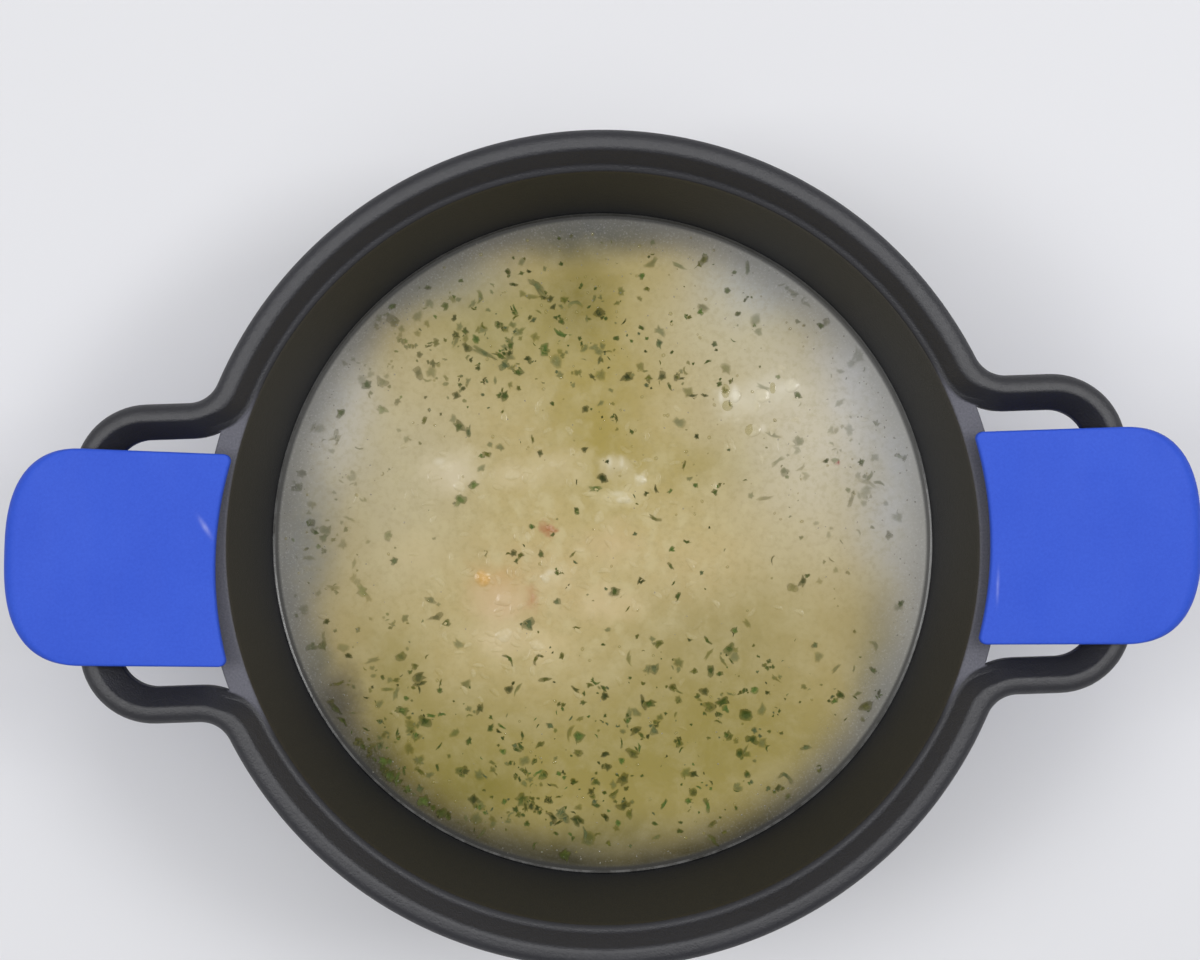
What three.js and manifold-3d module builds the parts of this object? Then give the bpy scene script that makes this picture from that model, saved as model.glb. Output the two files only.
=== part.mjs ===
// A 28 cm cast pot with two loop handles, a silicone grip on each handle, and the broth that half fills it.
// Millimetres, +Z up. The origin is the centre of the flat base, and the handles lie along X.
import * as THREE from 'three';
import { mergeVertices } from 'three/addons/utils/BufferGeometryUtils.js';
import Module from 'manifold-3d';

// Driving dimensions of the casting.
const potHeight = 125; // base to the crown of the rim bead
const mouthRadius = 140; // inner edge of the land, the nominal 28 cm
const landDrop = 8; // the flat land lies this far below the crown
const landRadius = 148.3; // outer edge of the land, where the handle gap starts
const landDepth = 7; // thickness of the land's outer edge
const baseThickness = 7;
const wallThickness = 5;
const innerFillet = 22; // between wall and base, inside
const outerFillet = 24; // between wall and base, outside
const flareHeight = 9; // the wall thickens into the land over this height
const edgeRound = 0.8; // on the land's two edges
const turnSegments = 72; // facets around the turned shapes

// The broth.
const brothLevel = 65.5;
const brothRadius = 132.4; // inner radius of the wall at that level
const gap = 0.3; // between faces that meet

// The rim bead, which leaves the rim at each side and runs out as the handle's bar. Its plan follows the crown line.
const crownRadius = 149.5;
const beadOut = 5; // from the crown line to the outer side
const beadIn = 8.1; // from the crown line to the inner foot
const beadDepth = 13; // crown to underside
const beadSideHeight = 5.5; // of the round outer side
const beadCrownWidth = 1.8; // of the round just inside the crown
const beadCrownDrop = 0.6;
const beadBottomRound = 3;
const barHalfSpan = 53.9; // from the handle's middle line to the crown line of a side bar
const handleReach = 189; // from the pot's axis to the crown line of the outer bar
const handleCorner = 22.5; // bend of the crown line at the outer corners
const handleFillet = 17; // bend of the crown line where the bead leaves the rim

// The silicone grips.
const gripMouthRadius = 141.2; // the upper flap ends above the land, along an arc about the pot's axis
const gripLowerRadius = 151; // the lower flap ends clear of the pot's wall
const gripEnd = 219.5; // from the pot's axis to the far end of a grip
const gripHalfWidth = 39.6;
const gripHalfWidthAtMouth = 38.8;
const gripEndLength = 30; // the far end is half a superellipse of this length
const gripEndPower = 2.65;
const gripMouthRound = 3; // corners beside the mouth
const flapThickness = 3;
const slotClearance = 0.5; // between the bar and the flaps above and below it
const slotEnd = 197.5; // just past the outer bar
const slotRound = 4;
const gripNose = 12; // thickness at the far end
// Each grip sits a little askew on its bar: slid along it, and turned about the bar.
const gripSlide = { left: 3.6, right: -1.3 };
const gripTurnDeg = { left: 3.3, right: 0.9 };

const wallTaper = (mouthRadius - brothRadius) / (potHeight - landDrop - brothLevel);
const innerRadiusAt = (z) => brothRadius + wallTaper * (z - brothLevel);
const wallAngle = Math.atan(wallTaper);

const wasm = await Module();
wasm.setup();

// A three.js geometry as a manifold-3d solid.
function toSolid(geometry) {
  const bare = geometry.index ? geometry.toNonIndexed() : geometry.clone();
  bare.deleteAttribute('normal');
  bare.deleteAttribute('uv');
  const merged = mergeVertices(bare, 1e-4);
  return new wasm.Manifold(
    new wasm.Mesh({
      numProp: 3,
      vertProperties: merged.attributes.position.array,
      triVerts: new Uint32Array(merged.index.array),
    })
  );
}

// A manifold-3d solid as a three.js geometry.
function toGeometry(solid) {
  const mesh = solid.getMesh();
  const positions = new Float32Array(mesh.numVert * 3);
  for (let i = 0; i < mesh.numVert; i++) {
    positions.set(mesh.vertProperties.subarray(i * mesh.numProp, i * mesh.numProp + 3), i * 3);
  }
  const geometry = new THREE.BufferGeometry();
  geometry.setAttribute('position', new THREE.BufferAttribute(positions, 3));
  geometry.setIndex(new THREE.BufferAttribute(mesh.triVerts, 1));
  geometry.computeVertexNormals();
  return geometry;
}

// Points of an arc, both ends included.
function arc(cx, cy, rx, ry, from, to, steps) {
  return Array.from({ length: steps + 1 }, (_, i) => {
    const angle = from + ((to - from) * i) / steps;
    return new THREE.Vector2(cx + rx * Math.cos(angle), cy + ry * Math.sin(angle));
  });
}

// The round between a flat floor and the leaning wall, from the floor up to where it touches the wall.
function floorRound(floorZ, radius, radiusAt, steps) {
  const centreZ = floorZ + radius;
  const centreR = radiusAt(centreZ) - radius / Math.cos(wallAngle);
  return arc(centreR, centreZ, radius, radius, -Math.PI / 2, -wallAngle, steps);
}

// A turned solid. LatheGeometry turns about Y, so it is stood up to turn about Z.
function turned(profile) {
  const geometry = new THREE.LatheGeometry(profile, turnSegments);
  geometry.rotateX(Math.PI / 2);
  return geometry;
}

// The casting without its bead: a bowl with a thick flat land around the mouth.
function makeBowl() {
  const landZ = potHeight - landDrop;
  const outerRadiusAt = (z) => innerRadiusAt(z) + wallThickness;
  const flareTop = landZ - landDepth;
  const flareMiddle = flareTop - flareHeight / 3;
  const flareBottom = flareTop - flareHeight;
  const flare = new THREE.QuadraticBezierCurve(
    new THREE.Vector2(outerRadiusAt(flareBottom), flareBottom),
    new THREE.Vector2(outerRadiusAt(flareMiddle), flareMiddle),
    new THREE.Vector2(landRadius, flareTop)
  );
  return turned([
    new THREE.Vector2(0, 0),
    ...floorRound(0, outerFillet, outerRadiusAt, 6),
    ...flare.getPoints(4),
    new THREE.Vector2(landRadius, landZ - edgeRound),
    new THREE.Vector2(landRadius - edgeRound, landZ),
    new THREE.Vector2(mouthRadius + edgeRound, landZ),
    new THREE.Vector2(innerRadiusAt(landZ - edgeRound), landZ - edgeRound),
    ...floorRound(baseThickness, innerFillet, innerRadiusAt, 6).reverse(),
    new THREE.Vector2(0, baseThickness),
  ]);
}

// The bead's section: x is the distance out from the crown line, y the height below the crown.
// The outer side is a quarter ellipse, the inner side one long slope down to the foot on the land.
function beadSection() {
  const low = -beadDepth;
  return [
    ...arc(0, -beadSideHeight, beadOut, beadSideHeight, 0, Math.PI / 2, 5),
    new THREE.Vector2(-beadCrownWidth, -beadCrownDrop),
    new THREE.Vector2(-beadIn, -landDrop),
    new THREE.Vector2(-beadIn, low + beadBottomRound),
    new THREE.Vector2(-beadIn + beadBottomRound, low),
    new THREE.Vector2(beadOut - beadBottomRound, low),
    new THREE.Vector2(beadOut, low + beadBottomRound),
  ];
}

// Stations of the crown line over half the pot: the far rim, then the left handle. Each has its outward normal.
function halfCrownLine() {
  const stations = [];
  const addArc = (cx, cy, radius, from, to, steps) => {
    const outward = to > from ? 1 : -1; // the fillets run the other way round
    for (let i = 0; i <= steps; i++) {
      const angle = from + ((to - from) * i) / steps;
      const nx = Math.cos(angle);
      const ny = Math.sin(angle);
      stations.push({ x: cx + radius * nx, y: cy + radius * ny, nx: outward * nx, ny: outward * ny });
    }
  };
  const filletY = barHalfSpan + handleFillet;
  const filletX = Math.sqrt((crownRadius + handleFillet) ** 2 - filletY ** 2);
  const leave = Math.atan2(filletY, filletX); // where the bead leaves the rim
  const cornerX = handleReach - handleCorner;
  const cornerY = barHalfSpan - handleCorner;
  const quarter = Math.PI / 2;
  addArc(0, 0, crownRadius, leave, Math.PI - leave, 26);
  addArc(-filletX, filletY, handleFillet, -leave, -quarter, 4);
  addArc(-cornerX, cornerY, handleCorner, quarter, 2 * quarter, 6);
  addArc(-cornerX, -cornerY, handleCorner, 2 * quarter, 3 * quarter, 6);
  addArc(-filletX, -filletY, handleFillet, quarter, leave, 4);
  return stations;
}

// The bead and both handles: the section carried round the closed crown line.
function makeBead() {
  const half = halfCrownLine();
  const turnedRound = half.map((s) => ({ x: -s.x, y: -s.y, nx: -s.nx, ny: -s.ny }));
  // Stations that repeat where two stretches meet are kept once.
  const stations = [...half, ...turnedRound].filter((s, i, all) => {
    const last = all[(i + all.length - 1) % all.length];
    return Math.hypot(s.x - last.x, s.y - last.y) > 1e-3;
  });
  const section = beadSection();
  const count = section.length;
  const positions = stations.flatMap((s) =>
    section.flatMap((p) => [s.x + p.x * s.nx, s.y + p.x * s.ny, potHeight + p.y])
  );
  const index = stations.flatMap((_, i) =>
    section.flatMap((__, j) => {
      const here = i * count;
      const next = ((i + 1) % stations.length) * count;
      const up = (j + 1) % count;
      return [here + j, next + j, next + up, here + j, next + up, here + up];
    })
  );
  const geometry = new THREE.BufferGeometry();
  geometry.setAttribute('position', new THREE.Float32BufferAttribute(positions, 3));
  geometry.setIndex(index);
  return geometry;
}

function makePot() {
  return toGeometry(toSolid(makeBowl()).add(toSolid(makeBead())));
}

// A grip seen from the side, x out from the pot's axis and y up: two flaps joined by a solid end.
function gripSideShape() {
  const top = potHeight + slotClearance + flapThickness;
  const slotTop = potHeight + slotClearance;
  const slotBottom = potHeight - beadDepth - slotClearance;
  const bottom = slotBottom - flapThickness;
  const start = gripMouthRadius - gripHalfWidth / 2; // inside the arc that trims the mouth
  const noseRound = gripNose / 2;
  const shape = new THREE.Shape();
  shape.moveTo(start, slotTop);
  shape.lineTo(slotEnd - slotRound, slotTop);
  shape.absarc(slotEnd - slotRound, slotTop - slotRound, slotRound, Math.PI / 2, 0, true);
  shape.lineTo(slotEnd, slotBottom + slotRound);
  shape.absarc(slotEnd - slotRound, slotBottom + slotRound, slotRound, 0, -Math.PI / 2, true);
  shape.lineTo(start, slotBottom);
  shape.lineTo(start, bottom);
  shape.lineTo(slotEnd - slotRound, bottom);
  shape.lineTo(gripEnd - noseRound, top - gripNose);
  shape.absarc(gripEnd - noseRound, top - noseRound, noseRound, -Math.PI / 2, Math.PI / 2, false);
  shape.lineTo(start, top);
  return shape;
}

// A grip seen from above: an arc about the pot's axis at the mouth, and half a superellipse at the far end.
function gripPlanShape() {
  const bulgePower = 2 / gripEndPower;
  const bulge = arc(0, 0, 1, 1, -Math.PI / 2, Math.PI / 2, 20).map(
    ({ x, y }) =>
      new THREE.Vector2(
        gripEnd - gripEndLength * (1 - Math.max(x, 0) ** bulgePower),
        gripHalfWidth * Math.sign(y) * Math.abs(y) ** bulgePower
      )
  );
  const mouthY = gripHalfWidthAtMouth - gripMouthRound;
  const mouthX = Math.sqrt(gripMouthRadius ** 2 - mouthY ** 2);
  const mouthAngle = Math.atan2(mouthY, mouthX);
  const mouthCorner = (y, from) =>
    arc(mouthX + gripMouthRound, y, gripMouthRound, gripMouthRound, from, from + Math.PI / 2, 3);
  return new THREE.Shape([
    ...arc(0, 0, gripMouthRadius, gripMouthRadius, mouthAngle, -mouthAngle, 12),
    ...mouthCorner(-mouthY, Math.PI).slice(1),
    ...bulge,
    ...mouthCorner(mouthY, Math.PI / 2).slice(0, -1),
  ]);
}

function makeGrip() {
  const width = 3 * gripHalfWidth; // wider than the plan, which trims it
  const side = new THREE.ExtrudeGeometry(gripSideShape(), {
    depth: width,
    bevelEnabled: false,
    curveSegments: 5,
  });
  side.translate(0, 0, -width / 2);
  side.rotateX(Math.PI / 2);
  const plan = new THREE.ExtrudeGeometry(gripPlanShape(), { depth: potHeight, bevelEnabled: false });
  plan.translate(0, 0, potHeight / 2);
  const potSide = new THREE.CylinderGeometry(gripLowerRadius, gripLowerRadius, potHeight, turnSegments);
  potSide.rotateX(Math.PI / 2);
  potSide.translate(0, 0, (potHeight - beadDepth) / 2); // up to the middle of the slot
  return toGeometry(toSolid(side).intersect(toSolid(plan)).subtract(toSolid(potSide)));
}

// The broth fills the bowl up to its level, just clear of the wall.
function makeBroth() {
  const radiusAt = (z) => innerRadiusAt(z) - gap;
  const floorZ = baseThickness + gap;
  return turned([
    new THREE.Vector2(0, floorZ),
    ...floorRound(floorZ, innerFillet, radiusAt, 5),
    new THREE.Vector2(radiusAt(brothLevel), brothLevel),
    new THREE.Vector2(0, brothLevel),
  ]);
}

const coating = new THREE.MeshStandardMaterial({ color: 0x2f2f31, roughness: 0.5, metalness: 0.2 });
const silicone = new THREE.MeshStandardMaterial({ color: 0x3d5bd6, roughness: 0.6, metalness: 0 });
const cloudyBroth = new THREE.MeshStandardMaterial({ color: 0xbcab78, roughness: 0.15, metalness: 0 });

function named(name, geometry, material) {
  const mesh = new THREE.Mesh(geometry, material);
  mesh.name = name;
  return mesh;
}

// A grip is made for the handle on +X. The turn is about the middle of the outer bar.
function placedGrip(side) {
  const holder = new THREE.Group();
  const mesh = named(`grip_${side}`, makeGrip(), silicone);
  mesh.position.set(-handleReach, 0, 0);
  const pivot = new THREE.Group();
  pivot.add(mesh);
  pivot.position.set(handleReach, side === 'left' ? -gripSlide.left : gripSlide.right, 0);
  pivot.rotation.z = THREE.MathUtils.degToRad(-gripTurnDeg[side]);
  holder.add(pivot);
  holder.rotation.z = side === 'left' ? Math.PI : 0;
  return holder;
}

const pot = new THREE.Group();
pot.add(named('pot', makePot(), coating));
pot.add(placedGrip('left'));
pot.add(placedGrip('right'));
pot.add(named('broth', makeBroth(), cloudyBroth));

export default pot;
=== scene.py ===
import math
import bpy
import numpy as np
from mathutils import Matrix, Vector
from mathutils.geometry import tessellate_polygon


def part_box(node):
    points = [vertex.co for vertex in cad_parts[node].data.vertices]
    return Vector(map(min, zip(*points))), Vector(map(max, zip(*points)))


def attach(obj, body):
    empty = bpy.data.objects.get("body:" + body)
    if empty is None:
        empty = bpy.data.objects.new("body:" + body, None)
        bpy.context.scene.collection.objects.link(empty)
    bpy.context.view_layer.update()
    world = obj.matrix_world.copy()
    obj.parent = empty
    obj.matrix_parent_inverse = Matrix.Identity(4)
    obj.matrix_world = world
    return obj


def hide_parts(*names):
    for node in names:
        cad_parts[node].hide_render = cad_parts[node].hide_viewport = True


# A wide cast pot with loop handles in blue grips, half full of a cloudy broth with rice, clams and chopped
# herbs. Lengths below are in millimetres, and meshes are written in metres. The camera looks straight down.

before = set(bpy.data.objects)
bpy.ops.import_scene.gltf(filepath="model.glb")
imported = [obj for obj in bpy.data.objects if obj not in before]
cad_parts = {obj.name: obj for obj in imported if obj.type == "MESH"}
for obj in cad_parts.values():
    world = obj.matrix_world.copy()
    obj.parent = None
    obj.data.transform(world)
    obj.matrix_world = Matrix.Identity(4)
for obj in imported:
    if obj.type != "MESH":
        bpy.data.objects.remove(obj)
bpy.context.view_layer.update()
print("frame loaded")

mm = 0.001
fullTurn = 2 * math.pi
spotReach = 1.75  # a soft patch of tone ends at this many of its radii
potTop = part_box("pot")[1][2] / mm
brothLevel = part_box("broth")[1][2] / mm


class Link:
    # A node's output, with which shader maths is written as a Python expression
    def __init__(self, paint, socket):
        self.paint = paint
        self.socket = socket

    def maths(self, operation, *others):
        return self.paint.node("ShaderNodeMath", {"operation": operation}, dict(enumerate((self, *others))))

    def flipped(self, operation, other):
        return self.paint.node("ShaderNodeMath", {"operation": operation}, {0: other, 1: self})

    def __add__(self, other):
        return self.maths("ADD", other)

    def __sub__(self, other):
        return self.maths("SUBTRACT", other)

    def __mul__(self, other):
        return self.maths("MULTIPLY", other)

    def __truediv__(self, other):
        return self.maths("DIVIDE", other)

    def __pow__(self, other):
        return self.maths("POWER", other)

    def __rsub__(self, other):
        return self.flipped("SUBTRACT", other)

    def __rtruediv__(self, other):
        return self.flipped("DIVIDE", other)

    __radd__ = __add__
    __rmul__ = __mul__


class Paint:
    # One material: its node tree, and one method that adds any node
    def __init__(self, name):
        self.material = bpy.data.materials.new(name)
        self.material.use_nodes = True
        self.tree = self.material.node_tree
        self.shader = self.tree.nodes["Principled BSDF"]

    def node(self, kind, settings=None, inputs=None, output=0):
        made = self.tree.nodes.new(kind)
        for key, value in (settings or {}).items():
            setattr(made, key, value)
        for key, value in (inputs or {}).items():
            self.plug(made.inputs[key], value)
        return Link(self, made.outputs[output])

    def plug(self, socket, value):
        if isinstance(value, Link):
            self.tree.links.new(value.socket, socket)
        elif socket.type == "RGBA" and len(value) == 3:
            socket.default_value = (*value, 1)
        else:
            socket.default_value = value

    def set(self, **values):  # the shader's own sockets, by name with spaces left out
        for key, value in values.items():
            socket = next(s for s in self.shader.inputs if s.name.replace(" ", "") == key)
            self.plug(socket, value)

    def place(self):  # where the point is on the object, in metres
        return self.node("ShaderNodeTexCoord", output="Object")

    def axes(self, vector):
        split = self.node("ShaderNodeSeparateXYZ", {}, {0: vector})
        return [Link(self, split.socket.node.outputs[i]) for i in range(3)]

    def moved(self, vector, scale):
        return self.node("ShaderNodeMapping", {}, {"Vector": vector, "Scale": scale})

    def blob(self, vector, x, y, wide, tall, strength):
        # A soft oval patch: strength in its middle, 0 from spotReach radii on, smooth between
        scale = (1 / (spotReach * wide * mm), 1 / (spotReach * tall * mm), 0)
        centre = (-x * mm * scale[0], -y * mm * scale[1], 0)
        counted = self.node("ShaderNodeMapping", {}, {"Vector": vector, "Location": centre, "Scale": scale})
        far = self.vector("LENGTH", counted, output=1)
        values = {"Value": far, "From Min": 1, "From Max": 0, "To Max": strength}
        return self.node("ShaderNodeMapRange", {"interpolation_type": "SMOOTHSTEP"}, values)

    def noise(self, vector, sizeMm, detail=2, roughness=0.5, output="Fac"):
        values = {"Vector": vector, "Scale": 1 / (sizeMm * mm), "Detail": detail, "Roughness": roughness}
        return self.node("ShaderNodeTexNoise", {}, values, output)

    def cells(self, vector, sizeMm):  # smoothed distance to the nearest cell's middle
        values = {"Vector": vector, "Scale": 1 / (sizeMm * mm)}
        return self.node("ShaderNodeTexVoronoi", {"feature": "SMOOTH_F1"}, values, "Distance")

    def vector(self, operation, first, second=None, output=0, **values):
        inputs = {0: first, **({} if second is None else {1: second}), **values}
        return self.node("ShaderNodeVectorMath", {"operation": operation}, inputs, output)

    def ramp(self, value, low, high):  # 0 below low, 1 above high, smooth between
        values = {"Value": value, "From Min": low, "From Max": high}
        return self.node("ShaderNodeMapRange", {"interpolation_type": "SMOOTHSTEP"}, values)

    def mix(self, factor, first, second):
        return self.node("ShaderNodeMix", {"data_type": "RGBA"}, {0: factor, 6: first, 7: second}, 2)

    def bump(self, height, depthMm, strength):
        values = {"Height": height, "Distance": depthMm * mm, "Strength": strength}
        return self.node("ShaderNodeBump", {}, values)

    def attribute(self, name, output="Color"):
        return self.node("ShaderNodeAttribute", {"attribute_name": name}, {}, output)


def fromScreen(red, green, blue):
    # A colour as a screen shows it, 0 to 255, as linear light
    share = np.array([red, green, blue]) / 255
    return tuple(np.where(share <= 0.04045, share / 12.92, ((share + 0.055) / 1.055) ** 2.4).tolist())


def gridFaces(rows, columns, closedRows=False, closedColumns=False):
    # Quads between neighbouring points of a rows by columns grid
    i = np.arange(rows if closedRows else rows - 1)[:, None]
    j = np.arange(columns if closedColumns else columns - 1)[None, :]
    down = (i + 1) % rows
    along = (j + 1) % columns
    corners = [i * columns + j, down * columns + j, down * columns + along, i * columns + along]
    return np.stack([np.broadcast_to(c, (len(i), j.shape[1])) for c in corners], -1).reshape(-1, 4)


def volumeOf(points, quads, tris):
    # Sum of the tetrahedra between the origin and each triangle: below zero when the faces point inwards
    triangles = np.concatenate([quads[:, [0, 1, 2]], quads[:, [0, 2, 3]], tris])
    a, b, c = (points[triangles[:, k]] for k in range(3))
    return (a * np.cross(b, c)).sum() / 6


def shell(points, quads, tris=None):
    # A closed shell with its faces turned outwards
    tris = np.zeros((0, 3), int) if tris is None else np.asarray(tris)
    if volumeOf(points, quads, tris) < 0:
        quads = quads[:, ::-1]
        tris = tris[:, ::-1]
    return points, quads, tris


def joined(shells):
    # Several shells as one
    offsets = np.cumsum([0] + [len(s[0]) for s in shells[:-1]])
    return (
        np.concatenate([s[0] for s in shells]),
        np.concatenate([s[1] + o for s, o in zip(shells, offsets)]),
        np.concatenate([s[2] + o for s, o in zip(shells, offsets)]),
    )


def repeated(faces, count, pointCount):
    # The faces of one item for each of count items, whose points follow each other
    offset = (np.arange(count) * pointCount)[:, None, None]
    return (faces + offset).reshape(-1, faces.shape[-1])


def laidOut(seeds, x, y):
    # Each item's own x and y, turned by its angle and moved to its place
    cos = np.cos(seeds["turn"])[:, None]
    sin = np.sin(seeds["turn"])[:, None]
    return seeds["x"][:, None] + x * cos - y * sin, seeds["y"][:, None] + x * sin + y * cos


def tinted(tone, opacity):
    # One RGBA for each point, of items by points
    return np.concatenate([tone, opacity[..., None]], -1).reshape(-1, 4)


def addPiece(name, shape, paint, replaced=(), colours=None, smooth=True):
    # shape is points in millimetres, quads and triangles; colours is one RGBA for each point
    points, quads, tris = shape
    sizes = np.concatenate([np.full(len(quads), 4), np.full(len(tris), 3)])
    mesh = bpy.data.meshes.new(name)
    mesh.vertices.add(len(points))
    mesh.vertices.foreach_set("co", (points * mm).ravel())
    mesh.loops.add(int(sizes.sum()))
    mesh.loops.foreach_set("vertex_index", np.concatenate([quads.ravel(), tris.ravel()]).astype(np.int32))
    mesh.polygons.add(len(sizes))
    mesh.polygons.foreach_set("loop_start", np.concatenate([[0], np.cumsum(sizes)[:-1]]).astype(np.int32))
    mesh.update(calc_edges=True)
    mesh.validate()
    mesh.polygons.foreach_set("use_smooth", np.full(len(sizes), smooth))
    if colours is not None:
        layer = mesh.color_attributes.new("tint", "FLOAT_COLOR", "POINT")
        layer.data.foreach_set("color", colours.astype(np.float32).ravel())
    mesh.materials.append(paint.material)
    piece = bpy.data.objects.new(name, mesh)
    bpy.context.scene.collection.objects.link(piece)
    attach(piece, "root")
    if replaced:
        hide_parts(*replaced)
    print(name, len(quads) * 2 + len(tris), "triangles")


def roundedPath(corners, radii, steps, closed=False):
    # Each corner of the path becomes an arc that touches both its sides. Works on the last two axes,
    # so that many paths are rounded at once; every arc has the same number of points.
    corners = np.asarray(corners, float)
    radii = np.broadcast_to(np.asarray(radii, float), corners.shape[:-1])
    if closed:
        corners = np.concatenate([corners[..., -1:, :], corners, corners[..., :1, :]], -2)
    else:
        radii = radii[..., 1:-1]
    here = corners[..., 1:-1, :]
    back = corners[..., :-2, :] - here
    ahead = corners[..., 2:, :] - here
    backLength = np.linalg.norm(back, axis=-1)
    aheadLength = np.linalg.norm(ahead, axis=-1)
    back = back / backLength[..., None]
    ahead = ahead / aheadLength[..., None]
    straight = math.pi / 2 - 0.0005  # a corner on a straight stretch is treated as the faintest bend
    longest = 0.499 * np.minimum(backLength, aheadLength)  # an arc takes less than half of each side
    half = np.minimum(np.arccos(np.clip((back * ahead).sum(-1), -1, 1)) / 2, straight)
    reach = np.minimum(radii / np.tan(half), longest)[..., None]
    start = here + back * reach
    end = here + ahead * reach
    middle = back + ahead
    sideways = np.stack([-back[..., 1], back[..., 0]], -1)
    middle = np.where(np.linalg.norm(middle, axis=-1, keepdims=True) < 1e-6, sideways, middle)
    middle = middle / np.linalg.norm(middle, axis=-1, keepdims=True)
    centre = here + middle * reach / np.cos(half)[..., None]
    sweep = (math.pi - 2 * half)[..., None, None]
    share = np.linspace(0, 1, steps)[:, None]
    first = (start - centre)[..., None, :]
    last = (end - centre)[..., None, :]
    arcs = np.sin((1 - share) * sweep) * first + np.sin(share * sweep) * last
    arcs = centre[..., None, :] + arcs / np.sin(sweep)
    arcs = arcs.reshape(*arcs.shape[:-3], -1, 2)
    if closed:
        return arcs
    return np.concatenate([corners[..., :1, :], arcs, corners[..., -1:, :]], -2)


def turned(profile, count):
    # The profile (radius, height) turned about the pot's axis. Its first and last points lie on the axis.
    angles = np.arange(count)[:, None] * fullTurn / count
    ring = profile[1:-1]
    points = np.stack([np.cos(angles) * ring[:, 0], np.sin(angles) * ring[:, 0], ring[:, 1] + 0 * angles], -1)
    columns = len(ring)
    poles = np.array([[0, 0, profile[0, 1]], [0, 0, profile[-1, 1]]])
    quads = gridFaces(count, columns, closedRows=True)
    start = np.arange(count) * columns
    after = np.roll(start, -1)
    low = np.full(count, count * columns)
    bottom = np.stack([low, after, start], -1)
    top = np.stack([start + columns - 1, after + columns - 1, low + 1], -1)
    return shell(np.concatenate([points.reshape(-1, 3), poles]), quads, np.concatenate([bottom, top]))


def smoothStep(value, low, high):
    share = np.clip((value - low) / (high - low), 0, 1)
    return share * share * (3 - 2 * share)


# The camera, the lamps and the floor
view = {
    "place": (-0.21, 25.37, 717),  # straight above the pot, a little behind its middle
    "turnDeg": -1.94,
    "lens": 48.57,
}
studio = {
    "floorColour": (222, 222, 225),
    "floorRoughness": 0.75,
    "floorUneven": (400, 0.12),  # size of its clouds, and how far they go towards the darker tone
    "floorDarker": 0.85,
    "floorHalf": 3000,
    "worldColour": (0.95, 0.97, 1.0),
    "worldStrength": 0.26,
    # name: x, y and height, side, power in watts
    "lamps": {
        "overheadLamp": ((260, 330, 1700), 2000, 19.8),
        "leftLamp": ((-900, 60, 1300), 520, 7.2),
        "rightLamp": ((900, 160, 1300), 380, 5.5),
    },
}


def makeStudio():
    scene = bpy.context.scene
    scene.view_settings.view_transform = "Standard"
    camera = bpy.data.objects.new("camera", bpy.data.cameras.new("camera"))
    camera.location = [v * mm for v in view["place"]]
    camera.rotation_euler = (0, 0, math.radians(view["turnDeg"]))
    camera.data.lens = view["lens"]
    camera.data.clip_start = 10 * mm
    scene.collection.objects.link(camera)
    scene.camera = camera
    world = bpy.data.worlds.new("studio")
    world.use_nodes = True
    background = world.node_tree.nodes["Background"]
    background.inputs["Color"].default_value = (*studio["worldColour"], 1)
    background.inputs["Strength"].default_value = studio["worldStrength"]
    scene.world = world
    for name, (place, side, power) in studio["lamps"].items():
        lamp = bpy.data.lights.new(name, "AREA")
        lamp.size = side * mm
        lamp.energy = power
        holder = bpy.data.objects.new(name, lamp)
        holder.location = [v * mm for v in place]
        holder.rotation_euler = Vector(place).to_track_quat("Z", "Y").to_euler()
        scene.collection.objects.link(holder)


def makeFloor():
    # A flat square with a very slight unevenness of tone
    half = studio["floorHalf"]
    points = np.array([[-half, -half, 0], [half, -half, 0], [half, half, 0], [-half, half, 0]], float)
    mesh = bpy.data.meshes.new("floor")
    mesh.from_pydata((points * mm).tolist(), [], [(0, 1, 2, 3)])
    paint = Paint("paleFloor")
    size, strength = studio["floorUneven"]
    cloud = paint.noise(paint.place(), size, 3)
    pale = fromScreen(*studio["floorColour"])
    darker = tuple(studio["floorDarker"] * c for c in pale)
    paint.set(BaseColor=paint.mix(cloud * strength, pale, darker), Roughness=studio["floorRoughness"])
    mesh.materials.append(paint.material)
    floor = bpy.data.objects.new("floor", mesh)
    bpy.context.scene.collection.objects.link(floor)


makeStudio()
makeFloor()
print("camera, light and floor made")


# The cast pot: bowl, rim and loop handles
cast = {
    "height": potTop,
    "mouthRadius": 140.0,
    "landDrop": 8.0,
    "landRadius": 148.3,
    "landDepth": 7.0,
    "baseThickness": 7.0,
    "wall": 5.0,
    "innerFillet": 22.0,
    "outerFillet": 24.0,
    "flareStart": 107.0,  # where the outer wall bends out to the land
    "flareRound": 6.0,
    "edgeRound": 0.9,
    "turnSteps": 288,
    "arcSteps": 12,
}
bead = {
    "crownRadius": 149.5,
    "out": 5.0,
    "inward": 8.1,
    "depth": 13.0,
    "sideHeight": 5.5,
    "crownWidth": 2.8,
    "crownRound": 5.0,
    "crownWidthOnHandle": 1.6,
    "crownRoundOnHandle": 4.0,
    "footRound": 2.0,  # on the handles
    "footFlare": 1.3,  # on the rim, where the bead meets the land
    "footFlareRound": 3.0,
    "lipRound": 0.2,
    "heelRound": 0.8,
    "bottomRound": 3.0,
    "barHalfSpan": 53.9,
    "reach": 189.0,
    "corner": 22.5,
    "fillet": 17.0,
    "sideSteps": 14,
    "arcSteps": 7,
    # Points along the crown line's arcs
    "rimPoints": 160,
    "filletPoints": 14,
    "cornerPoints": 18,
    "blend": (0.3, 5.0),  # beyond the rim's crown line, where its section turns into the handles'
}
brothRadius = 132.4
wallTaper = (cast["mouthRadius"] - brothRadius) / (cast["height"] - cast["landDrop"] - brothLevel)


def wallRadius(z):
    # Inside of the leaning wall at a height
    return brothRadius + wallTaper * (z - brothLevel)


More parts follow.
